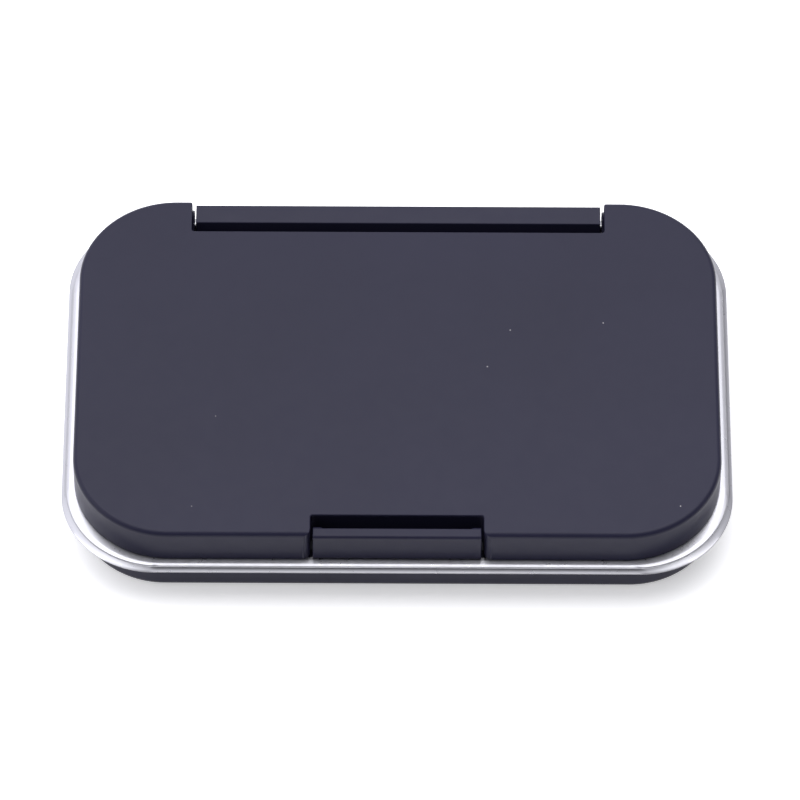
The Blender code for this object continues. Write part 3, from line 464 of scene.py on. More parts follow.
def lid_corners():
    """The lid in plan: the case's outline with the hinge notch behind and the tab notch in front."""
    return [
        (HALF_X, HALF_Y, CORNER_RADIUS, BIG_STEPS),
        (HINGE_NOTCH_HALF, HALF_Y, EAR_RADIUS, SMALL_STEPS),
        (HINGE_NOTCH_HALF, HINGE_NOTCH_EDGE, NOTCH_INNER_RADIUS, SMALL_STEPS),
        (-HINGE_NOTCH_HALF, HINGE_NOTCH_EDGE, NOTCH_INNER_RADIUS, SMALL_STEPS),
        (-HINGE_NOTCH_HALF, HALF_Y, EAR_RADIUS, SMALL_STEPS),
        (-HALF_X, HALF_Y, CORNER_RADIUS, BIG_STEPS),
        (-HALF_X, -HALF_Y, CORNER_RADIUS, BIG_STEPS),
        (-LATCH_NOTCH_HALF, -HALF_Y, NOTCH_EDGE_RADIUS, SMALL_STEPS),
        (-LATCH_NOTCH_HALF, LATCH_NOTCH_EDGE, NOTCH_INNER_RADIUS, SMALL_STEPS),
        (LATCH_NOTCH_HALF, LATCH_NOTCH_EDGE, NOTCH_INNER_RADIUS, SMALL_STEPS),
        (LATCH_NOTCH_HALF, -HALF_Y, NOTCH_EDGE_RADIUS, SMALL_STEPS),
        (HALF_X, -HALF_Y, CORNER_RADIUS, BIG_STEPS),
    ]


def quarter(radius, steps=FILLET_STEPS):
    """A fillet as (inset, drop) pairs, from the wall (inset 0, drop radius) to the flat (radius, 0)."""
    turns = [math.pi / 2 * step / steps for step in range(steps + 1)]
    return [(radius * (1 - math.cos(turn)), radius * (1 - math.sin(turn))) for turn in turns]


def rounded_up(corners, radius, base, start=0.0, steps=FILLET_STEPS):
    """Sections that leave a flat at height base through a fillet and end on the wall at inset start."""
    pairs = reversed(quarter(radius, steps))
    return [(rounded_polygon(corners, start + inset), base + drop) for inset, drop in pairs]


def rounded_off(corners, radius, top, start=0.0, steps=FILLET_STEPS):
    """Sections that leave the wall at inset start through a fillet and end on a flat at height top."""
    return [(rounded_polygon(corners, start + inset), top - drop) for inset, drop in quarter(radius, steps)]


# ---- solids ----
def finish_mesh(name, work, look):
    bmesh.ops.recalc_face_normals(work, faces=work.faces)
    mesh = bpy.data.meshes.new(name)
    work.to_mesh(mesh)
    work.free()
    if look:
        mesh.materials.append(look)
    made = bpy.data.objects.new(name, mesh)
    bpy.context.scene.collection.objects.link(made)
    return made


def skin(work, rings, closed=False):
    """Join neighbouring rings of vertices by faces; a ring may be a single vertex."""
    following = rings[1:] + rings[:1] if closed else rings[1:]
    for first, second in zip(rings, following):
        count = max(len(first), len(second))
        for index in range(count):
            after = (index + 1) % count
            if len(first) == 1:
                work.faces.new((first[0], second[after], second[index]))
            elif len(second) == 1:
                work.faces.new((first[index], first[after], second[0]))
            else:
                work.faces.new((first[index], first[after], second[after], second[index]))


def circle(work, x, radius, centre, segments):
    """A ring of vertices about the line along X through centre = (y, z)."""
    ring = []
    for step in range(segments):
        angle = 2 * math.pi * step / segments
        place = (x, centre[0] + radius * math.cos(angle), centre[1] + radius * math.sin(angle))
        ring.append(work.verts.new(place))
    return ring


def loft(name, sections, look=None):
    """Skin a run of sections, each (outline, height) or (outline, height of each point), and cap it."""
    work = bmesh.new()
    rings = []
    for outline, height in sections:
        heights = height if isinstance(height, list) else [height] * len(outline)
        rings.append([work.verts.new((x, y, z)) for (x, y), z in zip(outline, heights)])
    skin(work, rings)
    work.faces.new(list(reversed(rings[0])))
    work.faces.new(rings[-1])
    return finish_mesh(name, work, look)


def prism(name, outline, z_low, z_high, look=None):
    return loft(name, [(outline, z_low), (outline, z_high)], look)


def box(name, x_low, x_high, y_low, y_high, z_low, z_high, look=None):
    outline = [(x_high, y_high), (x_low, y_high), (x_low, y_low), (x_high, y_low)]
    return prism(name, outline, z_low, z_high, look)


def along_x(name, profile, x_low, x_high, look=None):
    """Extrude a closed (y, z) profile along X."""
    work = bmesh.new()
    near = [work.verts.new((x_low, y, z)) for y, z in profile]
    far = [work.verts.new((x_high, y, z)) for y, z in profile]
    skin(work, [near, far])
    work.faces.new(near)
    work.faces.new(list(reversed(far)))
    return finish_mesh(name, work, look)


def turned(name, profile, centre, look=None, segments=48):
    """Turn an (x, radius) profile about the line along X through centre = (y, z)."""
    work = bmesh.new()
    rings = []
    for x, radius in profile:
        ring = circle(work, x, radius, centre, segments) if radius else [work.verts.new((x, *centre))]
        rings.append(ring)
    skin(work, rings)
    for ring in (rings[0], rings[-1]):
        if len(ring) > 1:
            work.faces.new(ring)
    return soften(finish_mesh(name, work, look))


def arc(centre_y, centre_z, radius, start, end, steps=FILLET_STEPS):
    points = []
    for step in range(steps + 1):
        angle = math.radians(start + (end - start) * step / steps)
        points.append((centre_y + radius * math.cos(angle), centre_z + radius * math.sin(angle)))
    return points


def apply_modifiers(made):
    graph = bpy.context.evaluated_depsgraph_get()
    result = bpy.data.meshes.new_from_object(made.evaluated_get(graph))
    made.modifiers.clear()
    spent = made.data
    made.data = result
    bpy.data.meshes.remove(spent)
    return made


def combine(target, tool, operation):
    step = target.modifiers.new(operation, "BOOLEAN")
    step.object = tool
    step.operation = operation
    step.solver = "EXACT"
    apply_modifiers(target)
    used = tool.data
    bpy.data.objects.remove(tool)
    bpy.data.meshes.remove(used)
    return target


def cut(target, *tools):
    for tool in tools:
        combine(target, tool, "DIFFERENCE")
    return target


def join(target, *tools):
    for tool in tools:
        combine(target, tool, "UNION")
    return target


def bevel(made, width, segments=3, angle=40):
    """Round the sharp edges of a finished shape."""
    step = made.modifiers.new("edges", "BEVEL")
    step.width = width
    step.segments = segments
    step.limit_method = "ANGLE"
    step.angle_limit = math.radians(angle)
    step.use_clamp_overlap = True
    return apply_modifiers(made)


def soften(made, angle=32):
    """Smooth shading that keeps flat faces flat and sharp edges sharp."""
    made.data.shade_smooth()
    made.data.set_sharp_from_angle(angle=math.radians(angle))
    step = made.modifiers.new("flat faces", "WEIGHTED_NORMAL")
    step.keep_sharp = True
    step.weight = 90
    return made


def span(side, inner, outer):
    ends = (side * inner, side * outer)
    return min(ends), max(ends)


def show(made, body, slot, *nodes):
    """Finish a piece: it rides on a body and stands for CAD nodes. The slot is not used."""
    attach(made, body)
    if nodes:
        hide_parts(*nodes)
    return made


# ---- lid ----
def notch_plan(half, edge, mouth, radius, inner, flare):
    """Plan of a notch that opens at the front (mouth < edge) or, with its Y reversed, at the rear."""
    facing = math.copysign(1.0, mouth)
    deep = abs(edge) - flare
    rim = abs(mouth)
    wide = half + flare
    points = arc(wide - inner, -deep - inner, inner, 0, 90, SMALL_STEPS)
    points += arc(-wide + inner, -deep - inner, inner, 90, 180, SMALL_STEPS)
    points += arc(-wide - radius, -rim + radius, radius, 0, -90, SMALL_STEPS)
    points += [(-wide - radius, -rim - BEYOND), (wide + radius, -rim - BEYOND)]
    points += arc(wide + radius, -rim + radius, radius, -90, -180, SMALL_STEPS)
    return [(x, -facing * y) for x, y in points]


def notch_tool(half, edge, mouth, radius, inner):
    """A notch through the lid, its top edge broken by a small chamfer."""
    plain = notch_plan(half, edge, mouth, radius, inner, 0.0)
    flared = notch_plan(half, edge, mouth, radius, inner, EDGE_BREAK)
    return loft("notch", [
        (plain, LID_BOTTOM - BEYOND), (plain, TOP - EDGE_BREAK), (flared, TOP), (flared, TOP + BEYOND),
    ])


def swing_relief():
    """What the lid's rear lower edge loses to turn down past the trim ring."""
    low = AXIS_Z - SWING_RADIUS - BEYOND
    profile = [(AXIS_Y, low), (HALF_Y + BEYOND, low), (HALF_Y + BEYOND, AXIS_Z)]
    profile += arc(AXIS_Y, AXIS_Z, SWING_RADIUS, 0, -90, 4 * FILLET_STEPS)
    return along_x("relief", profile, -HALF_X - BEYOND, HALF_X + BEYOND)


def lid_boss(side):
    start = HINGE_NOTCH_HALF + LID_WALL / 2
    low, high = span(side, start, start + BOSS_LENGTH)
    root = TOP - LID_TOP / 2
    profile = [(AXIS_Y + BOSS_RADIUS, root), (AXIS_Y - BOSS_RADIUS, root)]
    profile += arc(AXIS_Y, AXIS_Z, BOSS_RADIUS, 180, 360, 4 * FILLET_STEPS)
    return along_x("boss", profile, low, high)


def lid_collar(side):
    """The round face that the ear bears on the end of the hinge bar with."""
    near = BAR_HALF + GAP
    far = HINGE_NOTCH_HALF + LID_WALL / 2
    points = [(near, COLLAR_RADIUS - EDGE_BREAK), (near + EDGE_BREAK, COLLAR_RADIUS), (far, COLLAR_RADIUS)]
    return turned("collar", [(side * x, radius) for x, radius in points], (AXIS_Y, AXIS_Z))


def lid_bore(side):
    low, high = span(side, BAR_HALF, HINGE_NOTCH_HALF + LID_WALL + BOSS_LENGTH)
    return turned("bore", [(low, BORE_RADIUS), (high, BORE_RADIUS)], (AXIS_Y, AXIS_Z), segments=BORE_SEGMENTS)


def lid_hollow():
    """The room under the lid, with a bevelled mouth and a rounded ceiling."""
    corners = lid_corners()
    sections = [
        (rounded_polygon(corners, LID_WALL - LID_MOUTH_BEVEL), LID_BOTTOM - BEYOND),
        (rounded_polygon(corners, LID_WALL - LID_MOUTH_BEVEL), LID_BOTTOM),
        (rounded_polygon(corners, LID_WALL), LID_BOTTOM + GAP),
    ]
    sections += rounded_off(corners, LID_INNER_RADIUS, TOP - LID_TOP, LID_WALL, 4)
    return loft("hollow", sections)


def lid_window():
    """The opening in the tab notch's wall that the button's bridge passes through."""
    rear = LATCH_WALL_REAR + GAP
    low = LID_BOTTOM - BEYOND
    return box("window", -GUIDE_INNER, GUIDE_INNER, LATCH_NOTCH_EDGE - GAP, rear, low, WINDOW_TOP)


def hinge_wall_foot():
    """What the wall of the hinge notch loses at its foot to clear the bar in the swing."""
    half = HINGE_NOTCH_HALF
    front = HINGE_NOTCH_EDGE - LID_WALL - GAP
    return box("wall_foot", -half, half, front, HALF_Y + BEYOND, LID_BOTTOM - BEYOND, HINGE_WALL_BOTTOM)


def lid_lug():
    """The ledge over the window that the button's nose hooks on."""
    root = LATCH_WALL_REAR - LID_WALL / 2
    rear = LATCH_WALL_REAR + LUG_DEPTH
    lug = [
        (root, WINDOW_TOP), (rear - LUG_BEVEL, WINDOW_TOP), (rear, WINDOW_TOP + LUG_BEVEL),
        (rear, WINDOW_TOP + LUG_HEIGHT), (root, WINDOW_TOP + LUG_HEIGHT),
    ]
    return along_x("lug", lug, -HOOK_HALF, HOOK_HALF)


def make_lid(look):
    plain = case_corners()
    sections = rounded_up(plain, SEAM, RING_TOP + SEAM, steps=2)
    sections += rounded_off(plain, LID_EDGE_RADIUS, TOP)
    lid = cut(loft("lid", sections, look), lid_hollow())
    cut(
        lid,
        lid_window(),
        hinge_wall_foot(),
        notch_tool(LATCH_NOTCH_HALF, LATCH_NOTCH_EDGE, -HALF_Y, NOTCH_EDGE_RADIUS, NOTCH_INNER_RADIUS),
        notch_tool(HINGE_NOTCH_HALF, HINGE_NOTCH_EDGE, HALF_Y, EAR_RADIUS, NOTCH_INNER_RADIUS),
        swing_relief(),
    )
    join(lid, lid_lug(), lid_boss(1), lid_boss(-1), lid_collar(1), lid_collar(-1))
    cut(lid, lid_bore(1), lid_bore(-1))
    soften(lid)
    return show(lid, "lid", "case_plastic", "lid_shell")


def make_pins(look):
    for side in ("right", "left"):
        low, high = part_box("hinge_pin_" + side)
        centre = ((low[1] + high[1]) / 2, (low[2] + high[2]) / 2)
        radius = (high[2] - low[2]) / 2
        profile = [
            (low[0], 0), (low[0], radius - PIN_CHAMFER), (low[0] + PIN_CHAMFER, radius),
            (high[0] - PIN_CHAMFER, radius), (high[0], radius - PIN_CHAMFER), (high[0], 0),
        ]
        show(turned("pin_" + side, profile, centre, look, 32), "lid", "steel", "hinge_pin_" + side)


# ---- palette ----
def palette_corners():
    """The insert's plan: case corners in front, straight behind, cut round the latch."""
    x = PALETTE_HIGH[0]
    front = PALETTE_LOW[1]
    rear = PALETTE_HIGH[1]
    latch_half = LATCH_NOTCH_HALF + LID_WALL + GAP
    latch_rear = LATCH_WALL_REAR + GAP
    hook_half = HOOK_HALF + HOOK_SIDE_ROOM
    radius = CORNER_RADIUS - LID_WALL - GAP
    small = PALETTE_CUT_RADIUS
    return [
        (x, rear, PALETTE_REAR_RADIUS, BIG_STEPS),
        (-x, rear, PALETTE_REAR_RADIUS, BIG_STEPS),
        (-x, front, radius, BIG_STEPS),
        (-latch_half, front, small, SMALL_STEPS),
        (-latch_half, latch_rear, small, SMALL_STEPS),
        (-hook_half, latch_rear, small, SMALL_STEPS),
        (-hook_half, LATCH_REAR, small, SMALL_STEPS),
        (hook_half, LATCH_REAR, small, SMALL_STEPS),
        (hook_half, latch_rear, small, SMALL_STEPS),
        (latch_half, latch_rear, small, SMALL_STEPS),
        (latch_half, front, small, SMALL_STEPS),
        (x, front, radius, BIG_STEPS),
    ]


def well_tool(x_low, x_high, y_low, y_high):
    """The hollow of one well, flaring at its rim and rounded at its floor, open downwards."""
    face = PALETTE_LOW[2]
    plan = rectangle(x_low, x_high, y_low, y_high, WELL_CORNER, 2 * SMALL_STEPS)
    wide = rounded_polygon(plan, -WELL_RIM)
    sections = [(wide, face - BEYOND), (wide, face)]
    for inset, drop in reversed(quarter(WELL_RIM, 4)):
        sections.append((rounded_polygon(plan, -drop), face + inset * 0.999 + 0.001 * MM))
    sections += rounded_off(plan, WELL_FLOOR_RADIUS, face + WELL_DEPTH, steps=5)
    return loft("well", sections)


def well_places():
    """Three large wells beside the hinge and five small ones beside the latch."""
    rear = PALETTE_HIGH[1] - WELL_MARGIN
    small_front = LATCH_REAR + WELL_MARGIN
    small_rear = small_front + SMALL_WELL_SHARE * (rear - small_front - WELL_RIDGE)
    places = []
    for count, y_low, y_high in ((3, small_rear + WELL_RIDGE, rear), (5, small_front, small_rear)):
        width = (2 * WELLS_HALF - (count - 1) * WELL_RIDGE) / count
        for number in range(count):
            x = -WELLS_HALF + number * (width + WELL_RIDGE)
            places.append((x, x + width, y_low, y_high))
    return places


def make_palette(look):
    corners = palette_corners()
    sections = rounded_up(corners, PALETTE_EDGE, PALETTE_LOW[2], steps=3)
    sections += rounded_off(corners, PALETTE_EDGE, PALETTE_HIGH[2], steps=3)
    palette = loft("palette", sections, look)
    for place in well_places():
        cut(palette, well_tool(*place))
    soften(palette)
    return show(palette, "lid", "palette_plastic", "mixing_palette")


# ---- base ----
def make_bar():
    """The hinge bar: a long knuckle with rounded edges and ends on a web, bored for the two pins."""
    low = BAR_TOP - KNUCKLE_DEPTH
    radius = BAR_EDGE_RADIUS
    small = BAR_FRONT_RADIUS
    profile = arc(BAR_REAR - radius, BAR_TOP - radius, radius, 0, 88)
    profile += [(BAR_FRONT + 0.80 * MM, BAR_TOP - 0.17 * MM)]
    profile += arc(BAR_FRONT + small, BAR_TOP - 0.50 * MM, small, 100, 188)
    profile += arc(BAR_FRONT - BAR_LEAN + radius, BAR_TOP - BAR_LEAN_DEPTH, radius, 188, 225)
    profile += arc(BAR_FRONT + radius, low + radius, radius, 180, 270)
    profile += [(BAR_REAR, low)]
    bar = bevel(along_x("bar", profile, -BAR_HALF, BAR_HALF), BAR_END_RADIUS, 4, 60)
    front, rear = BAR_REAR - BAR_WEB, BAR_REAR - WEB_SET_BACK
    join(bar, box("web", -BAR_HALF, BAR_HALF, front, rear, FLOOR / 2, low + BAR_WEB))
    for side in (1, -1):
        inner, outer = span(side, BAR_HALF - PIN_IN_BAR - GAP, BAR_HALF + BEYOND)
        ends = [(inner, BORE_RADIUS), (outer, BORE_RADIUS)]
        cut(bar, turned("bore", ends, (AXIS_Y, AXIS_Z), segments=BORE_SEGMENTS))
    return bar


def button_guide(side):
    """A post beside the button's leg with a groove for the tongue's wing."""
    low, high = span(side, GUIDE_INNER, GUIDE_INNER + GUIDE_THICKNESS)
    post = bevel(box("guide", low, high, GUIDE_FRONT, LATCH_REAR, FLOOR / 2, TRAY_HIGH[2]), 0.25 * MM, 2)
    low, high = span(side, 0, GUIDE_INNER + TONGUE_WING)
    front, rear = GUIDE_FRONT - BEYOND, LATCH_REAR + BEYOND
    return cut(post, box("groove", low, high, front, rear, TONGUE_BOTTOM - GAP, TONGUE_TOP + GAP))


def spring_rib():
    front = SPRING_HIGH[1] + GAP
    rear = front + RIB_THICKNESS
    return bevel(box("rib", -RIB_HALF, RIB_HALF, front, rear, FLOOR / 2, TONGUE_BOTTOM - GAP), 0.2 * MM, 2)


def make_base(look):
    corners = case_corners()
    tighter = rectangle(-HALF_X, HALF_X, -HALF_Y, HALF_Y, BASE_CORNER_RADIUS, BIG_STEPS)
    shoulder = RING_BOTTOM - SEAM
    seat = RING_SEAT + GAP
    sections = rounded_up(tighter, BASE_FOOT_RADIUS, 0.0, BASE_DRAFT)
    sections += rounded_off(tighter, BASE_SHOULDER_RADIUS, shoulder, steps=3)
    sections.append((rounded_polygon(corners, seat), shoulder))
    sections += rounded_off(corners, SPIGOT_RADIUS, TRAY_HIGH[2], seat, 3)
    base = loft("base", sections, look)
    inner = rounded_up(corners, BASE_INNER_RADIUS, FLOOR, BASE_WALL, 4)
    inner.append((rounded_polygon(corners, BASE_WALL), RING_TOP + BEYOND))
    cut(base, loft("hollow", inner))
    mouth = rounded_polygon(corners, RECESS_INSET)
    ceiling = rounded_polygon(corners, RECESS_INSET + RECESS_BEVEL)
    cut(base, loft("recess", [(mouth, -BEYOND), (mouth, 0.0), (ceiling, RECESS_DEPTH)]))
    join(base, make_bar(), spring_rib(), button_guide(1), button_guide(-1))
    soften(base)
    return show(base, "case", "case_plastic", "base_shell")


# ---- trim ring ----
def ring_profile():
    """Closed (offset, height) section: sloping ledge and upper lip, riser, lower lip, rounded side."""
    ledge = [(0.0, 0.0), (0.30, -0.02), (0.86, -0.11), (0.96, -0.13), (1.36, -0.25)]
    riser = [(1.43, -0.31), (1.48, -0.43), (1.50, -0.59), (1.94, -0.89)]
    lip = [(2.24, -0.98), (2.30, -1.04), (2.30, -1.12), (2.24, -1.22)]
    points = [(out * MM, RING_TOP + up * MM) for out, up in ledge + riser + lip]
    return [(-RING_SEAT, RING_TOP)] + points + [(RING_FOOT, RING_BOTTOM), (-RING_SEAT, RING_BOTTOM)]


def make_ring(look):
    """Carry the section round the case, with rounder corners the further out it lies."""
    work = bmesh.new()
    rings = []
    for offset, height in ring_profile():
        radius = CORNER_RADIUS + RING_CORNER_EASE * max(0.0, offset) / RING_PROUD
        corners = rectangle(-HALF_X, HALF_X, -HALF_Y, HALF_Y, radius, BIG_STEPS)
        rings.append([work.verts.new((x, y, height)) for x, y in rounded_polygon(corners, -offset)])
    skin(work, rings, closed=True)
    ring = soften(finish_mesh("ring", work, look), 50)
    return show(ring, "case", "trim_metal", "trim_ring")


# ---- latch button ----
def tab_gusset(side):
    """The thick end of the tab that stiffens it from behind."""
    root = BUTTON_LOW[1] + TAB_THICKNESS
    top = BUTTON_HIGH[2]
    foot = TAB_BOTTOM + 0.1 * MM
    low, high = span(side, TAB_HALF - GUSSET_WIDTH, TAB_HALF - 0.02 * MM)
    profile = [
        (root - TAB_ROOT, foot), (root + GUSSET_DEPTH, foot), (root + GUSSET_DEPTH, top - 1.2 * MM),
        (root + 0.5 * MM, top - 0.5 * MM), (root - TAB_ROOT, top - TAB_REAR_RADIUS),
    ]
    return bevel(along_x("gusset", profile, low, high), 0.15 * MM, 2)


def button_hook():
    """The upright behind the lug, with the nose that reaches forward over it."""
    front = LATCH_WALL_REAR + LUG_DEPTH + GAP
    rear = front + HOOK_THICKNESS
    nose_front = front - GAP - HOOK_ENGAGEMENT
    nose_low = WINDOW_TOP + LUG_HEIGHT + GAP
    nose_high = nose_low + NOSE_HEIGHT
    profile = [
        (rear, TONGUE_BOTTOM), (rear, nose_high), (front, nose_high), (nose_front, nose_low + NOSE_BEVEL),
        (nose_front, nose_low), (front, nose_low), (front, TONGUE_BOTTOM),
    ]
    return bevel(along_x("hook", profile, -HOOK_HALF, HOOK_HALF), EDGE_BREAK, 2)


def make_button(look):
    """Press tab with end gussets, bridge, leg, guided tongue, hook and spring foot."""
    front = BUTTON_LOW[1]
    rear = front + TAB_THICKNESS
    top = BUTTON_HIGH[2]
    small = TAB_REAR_RADIUS
    radius = TAB_FRONT_RADIUS
    foot = RING_TOP + 2 * SEAM
    profile = [(rear, foot)] + arc(rear - small, top - small, small, 0, 90, 3)
    profile += arc(front + radius, top - radius, radius, 90, 180) + [(front, foot)]
    button = bevel(along_x("tab", profile, -TAB_HALF, TAB_HALF, look), TAB_END_RADIUS, 3, 60)
    hook_rear = LATCH_WALL_REAR + LUG_DEPTH + GAP + HOOK_THICKNESS
    half = LEG_HALF
    wing = LEG_HALF + TONGUE_WING
    nudge = 0.01 * MM
    join(button, tab_gusset(1), tab_gusset(-1))
    join(
        button,
        box("bridge", -half, half, rear - TAB_ROOT, LEG_REAR, TAB_BOTTOM + 2 * nudge, BRIDGE_TOP),
        box("leg", -half, half, LEG_FRONT, LEG_REAR, TONGUE_BOTTOM, BRIDGE_TOP - nudge),
        box("tongue", -half, half, LEG_FRONT + nudge, hook_rear, TONGUE_BOTTOM, TONGUE_TOP),
        box("wings", -wing, wing, GUIDE_FRONT + GAP, hook_rear, TONGUE_BOTTOM, TONGUE_TOP),
        button_hook(),
        box("foot", -FOOT_HALF, FOOT_HALF, LEG_FRONT, LEG_REAR, BUTTON_LOW[2], TONGUE_TOP),
    )
    soften(button)
    return show(button, "button", "case_plastic", "latch_button")


def make_spring(look):
    """Round-wire coil between the button's foot and the rib, its end turns closed up."""
    radius = (SPRING_HIGH[0] - SPRING_LOW[0]) / 2 - SPRING_WIRE
    start, end = SPRING_LOW[1] + SPRING_WIRE, SPRING_HIGH[1] - SPRING_WIRE
    centre_z = (SPRING_LOW[2] + SPRING_HIGH[2]) / 2
    curve = bpy.data.curves.new("spring", "CURVE")
    curve.dimensions = "3D"
    curve.bevel_depth = SPRING_WIRE
    curve.bevel_resolution = 3
    curve.use_fill_caps = True
    spline = curve.splines.new("POLY")
    spline.points.add(SPRING_TURNS * SPRING_STEPS)
    for number, point in enumerate(spline.points):
        share = number / (SPRING_TURNS * SPRING_STEPS)
        eased = share - math.sin(4 * math.pi * share) / (8 * math.pi)
        angle = 2 * math.pi * SPRING_TURNS * share
        y = start + (end - start) * eased
        point.co = (radius * math.cos(angle), y, centre_z + radius * math.sin(angle), 1.0)
    curve.materials.append(look)
    made = bpy.data.objects.new("spring", curve)
    bpy.context.scene.collection.objects.link(made)
    return show(made, "case", "steel", "latch_spring")


# ---- pan tray ----
def opening_tool(name, plan, sections):
    """A hollow that goes on upwards from the given sections and flares at the tray's top."""
    top = TRAY_HIGH[2]
    sections.append((rounded_polygon(plan), top - TRAY_EDGE))
    for inset, drop in quarter(TRAY_EDGE, 3)[1:]:
        sections.append((rounded_polygon(plan, -inset), top - drop))
    sections.append((rounded_polygon(plan, -TRAY_EDGE), top + BEYOND))
    return loft(name, sections)


def pocket_tool(low, high):
    """The pocket for a pan that takes up the box from low to high."""
    plan = rectangle(low[0] - GAP, high[0] + GAP, low[1] - GAP, high[1] + GAP, POCKET_CORNER, SMALL_STEPS)
    return opening_tool("pocket", plan, [(rounded_polygon(plan), TRAY_LOW[2] - BEYOND)])


def trough_tool(x_low, x_high, y_low, y_high):
    """The brush's trough, its floor rounded into its walls."""
    plan = rectangle(x_low, x_high, y_low, y_high, POCKET_CORNER, SMALL_STEPS)
    floor_z = TRAY_LOW[2] + TROUGH_FLOOR
    return opening_tool("trough", plan, rounded_up(plan, TROUGH_RADIUS, floor_z, steps=4))


def tray_corners():
    """The insert's plan: case corners, cut round the hinge bar behind and the latch in front."""
    half_x, half_y = TRAY_HIGH[:2]
    latch_rear = LATCH_REAR + GAP
    bar_half = BAR_HALF + GAP
    bar_front = BAR_FRONT - GAP
    radius = CORNER_RADIUS - (HALF_X - half_x)
    small = TRAY_CUT_RADIUS
    return [
        (half_x, half_y, radius, BIG_STEPS),
        (bar_half, half_y, small, SMALL_STEPS),
        (bar_half, bar_front, small, SMALL_STEPS),
        (-bar_half, bar_front, small, SMALL_STEPS),
        (-bar_half, half_y, small, SMALL_STEPS),
        (-half_x, half_y, radius, BIG_STEPS),
        (-half_x, -half_y, radius, BIG_STEPS),
        (-TRAY_LATCH_HALF, -half_y, small, SMALL_STEPS),
        (-TRAY_LATCH_HALF, latch_rear, small, SMALL_STEPS),
        (TRAY_LATCH_HALF, latch_rear, small, SMALL_STEPS),
        (TRAY_LATCH_HALF, -half_y, small, SMALL_STEPS),
        (half_x, -half_y, radius, BIG_STEPS),
    ]


def make_tray(look):
    bottom, top = TRAY_LOW[2], TRAY_HIGH[2]
    corners = tray_corners()
    sections = [(rounded_polygon(corners), bottom)] + rounded_off(corners, TRAY_EDGE, top, steps=3)
    tray = loft("tray", sections, look)
    boxes = [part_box(name) for name in PANS]
    x_low, y_low = (min(low[axis] for low, high in boxes) for axis in (0, 1))
    x_high, y_high = (max(high[axis] for low, high in boxes) for axis in (0, 1))
    wall = GAP + POCKET_WALL
    hollow = prism("hollow", rounded_polygon(corners, TRAY_SKIRT), bottom - BEYOND, top - TRAY_DECK)
    low_z = bottom - 2 * BEYOND
    cut(hollow, box("rows", x_low - wall, x_high + wall, y_low - wall, y_high + wall, low_z, top))
    cut(tray, hollow)
    for low, high in boxes:
        cut(tray, pocket_tool(low, high))
    row_rear = min(high[1] for low, high in boxes)
    row_front = max(low[1] for low, high in boxes)
    cut(tray, trough_tool(x_low - GAP, x_high + GAP, row_rear + wall, row_front - wall))
    soften(tray)
    return show(tray, "case", "tray_plastic", "pan_tray")


# ---- pans and paint ----
def pan_plan(low, high, inset):
    """A pan's plan about its own middle, its radius a little tighter further in."""
    half_x = (high[0] - low[0]) / 2
    half_y = (high[1] - low[1]) / 2
    plan = rectangle(-half_x, half_x, -half_y, half_y, PAN_CORNER + inset / 2, 2 * SMALL_STEPS)
    return rounded_polygon(plan, inset)


def pan_mesh(low, high, look):
    """One half pan about its foot: rounded foot, tapered wall, rolled rim, tapered inside."""
    height = high[2] - low[2]
    rim = PAN_WALL / 2
    sections = []
    for inset, drop in reversed(quarter(PAN_FOOT_RADIUS, 4)):
        sections.append((pan_plan(low, high, PAN_DRAFT + inset), drop))
    for step in range(RIM_STEPS + 1):
        angle = math.pi * step / RIM_STEPS
        plan = pan_plan(low, high, rim * (1 - math.cos(angle)))
        sections.append((plan, height - rim + rim * math.sin(angle)))
    for inset, drop in quarter(PAN_INNER_RADIUS, 5):
        share = 1 - (PAN_WALL + drop) / height
        sections.append((pan_plan(low, high, PAN_WALL + PAN_DRAFT * share + inset), PAN_WALL + drop))
    pan = loft("pan", sections, look)
    pan.data.shade_smooth()
    pan.data.set_sharp_from_angle(angle=math.radians(40))
    mesh = pan.data
    bpy.data.objects.remove(pan)
    return mesh


def cake_swell(x, y, share, shift):
    """How far a cake's surface lies off its mean at a place: broad swells, fine grain, a ragged rim."""
    place = Vector((x, y, 0)) / (1.7 * MM) + shift
    fine = Vector((x, y, 0)) / (0.55 * MM) + shift
    swell = 0.16 * MM * noise.noise(place * 0.45) + 0.05 * MM * noise.noise(place)
    ragged = 0.10 * MM * noise.noise(place * 1.3) * (1 - share)
    return (swell + 0.015 * MM * noise.noise(fine)) * min(1, share * 6) + ragged


def cake_mesh(name, low, high, look, seed):
    """A cake of paint about its pan's foot: it climbs the pan's wall and sinks unevenly in the middle."""
    height = high[2] - low[2]
    foot_z = PAN_WALL + 0.02 * MM
    climb = height - CAKE_BELOW_RIM
    touch = PAN_WALL - 0.03 * MM
    shift = Vector((seed * 3.7, seed * 1.9, seed * 5.3))
    foot = pan_plan(low, high, touch + PAN_DRAFT * (1 - foot_z / height) + PAN_INNER_RADIUS)
    sections = [(foot, foot_z)]
    wall_inset = touch + PAN_DRAFT * (1 - climb / height)
    reach = 0.93 * ((high[0] - low[0]) / 2 - wall_inset)
    for ring in range(CAKE_RINGS + 1):
        share = ring / CAKE_RINGS
        outline = pan_plan(low, high, wall_inset + reach * share ** 1.25)
        level = climb - CAKE_DISH * (1 - (1 - share) ** 5)
        sections.append((outline, [level + cake_swell(x, y, share, shift) for x, y in outline]))
    cake = loft(name, sections, look)
    cake.data.shade_smooth()
    cake.data.set_sharp_from_angle(angle=math.radians(60))
    return cake


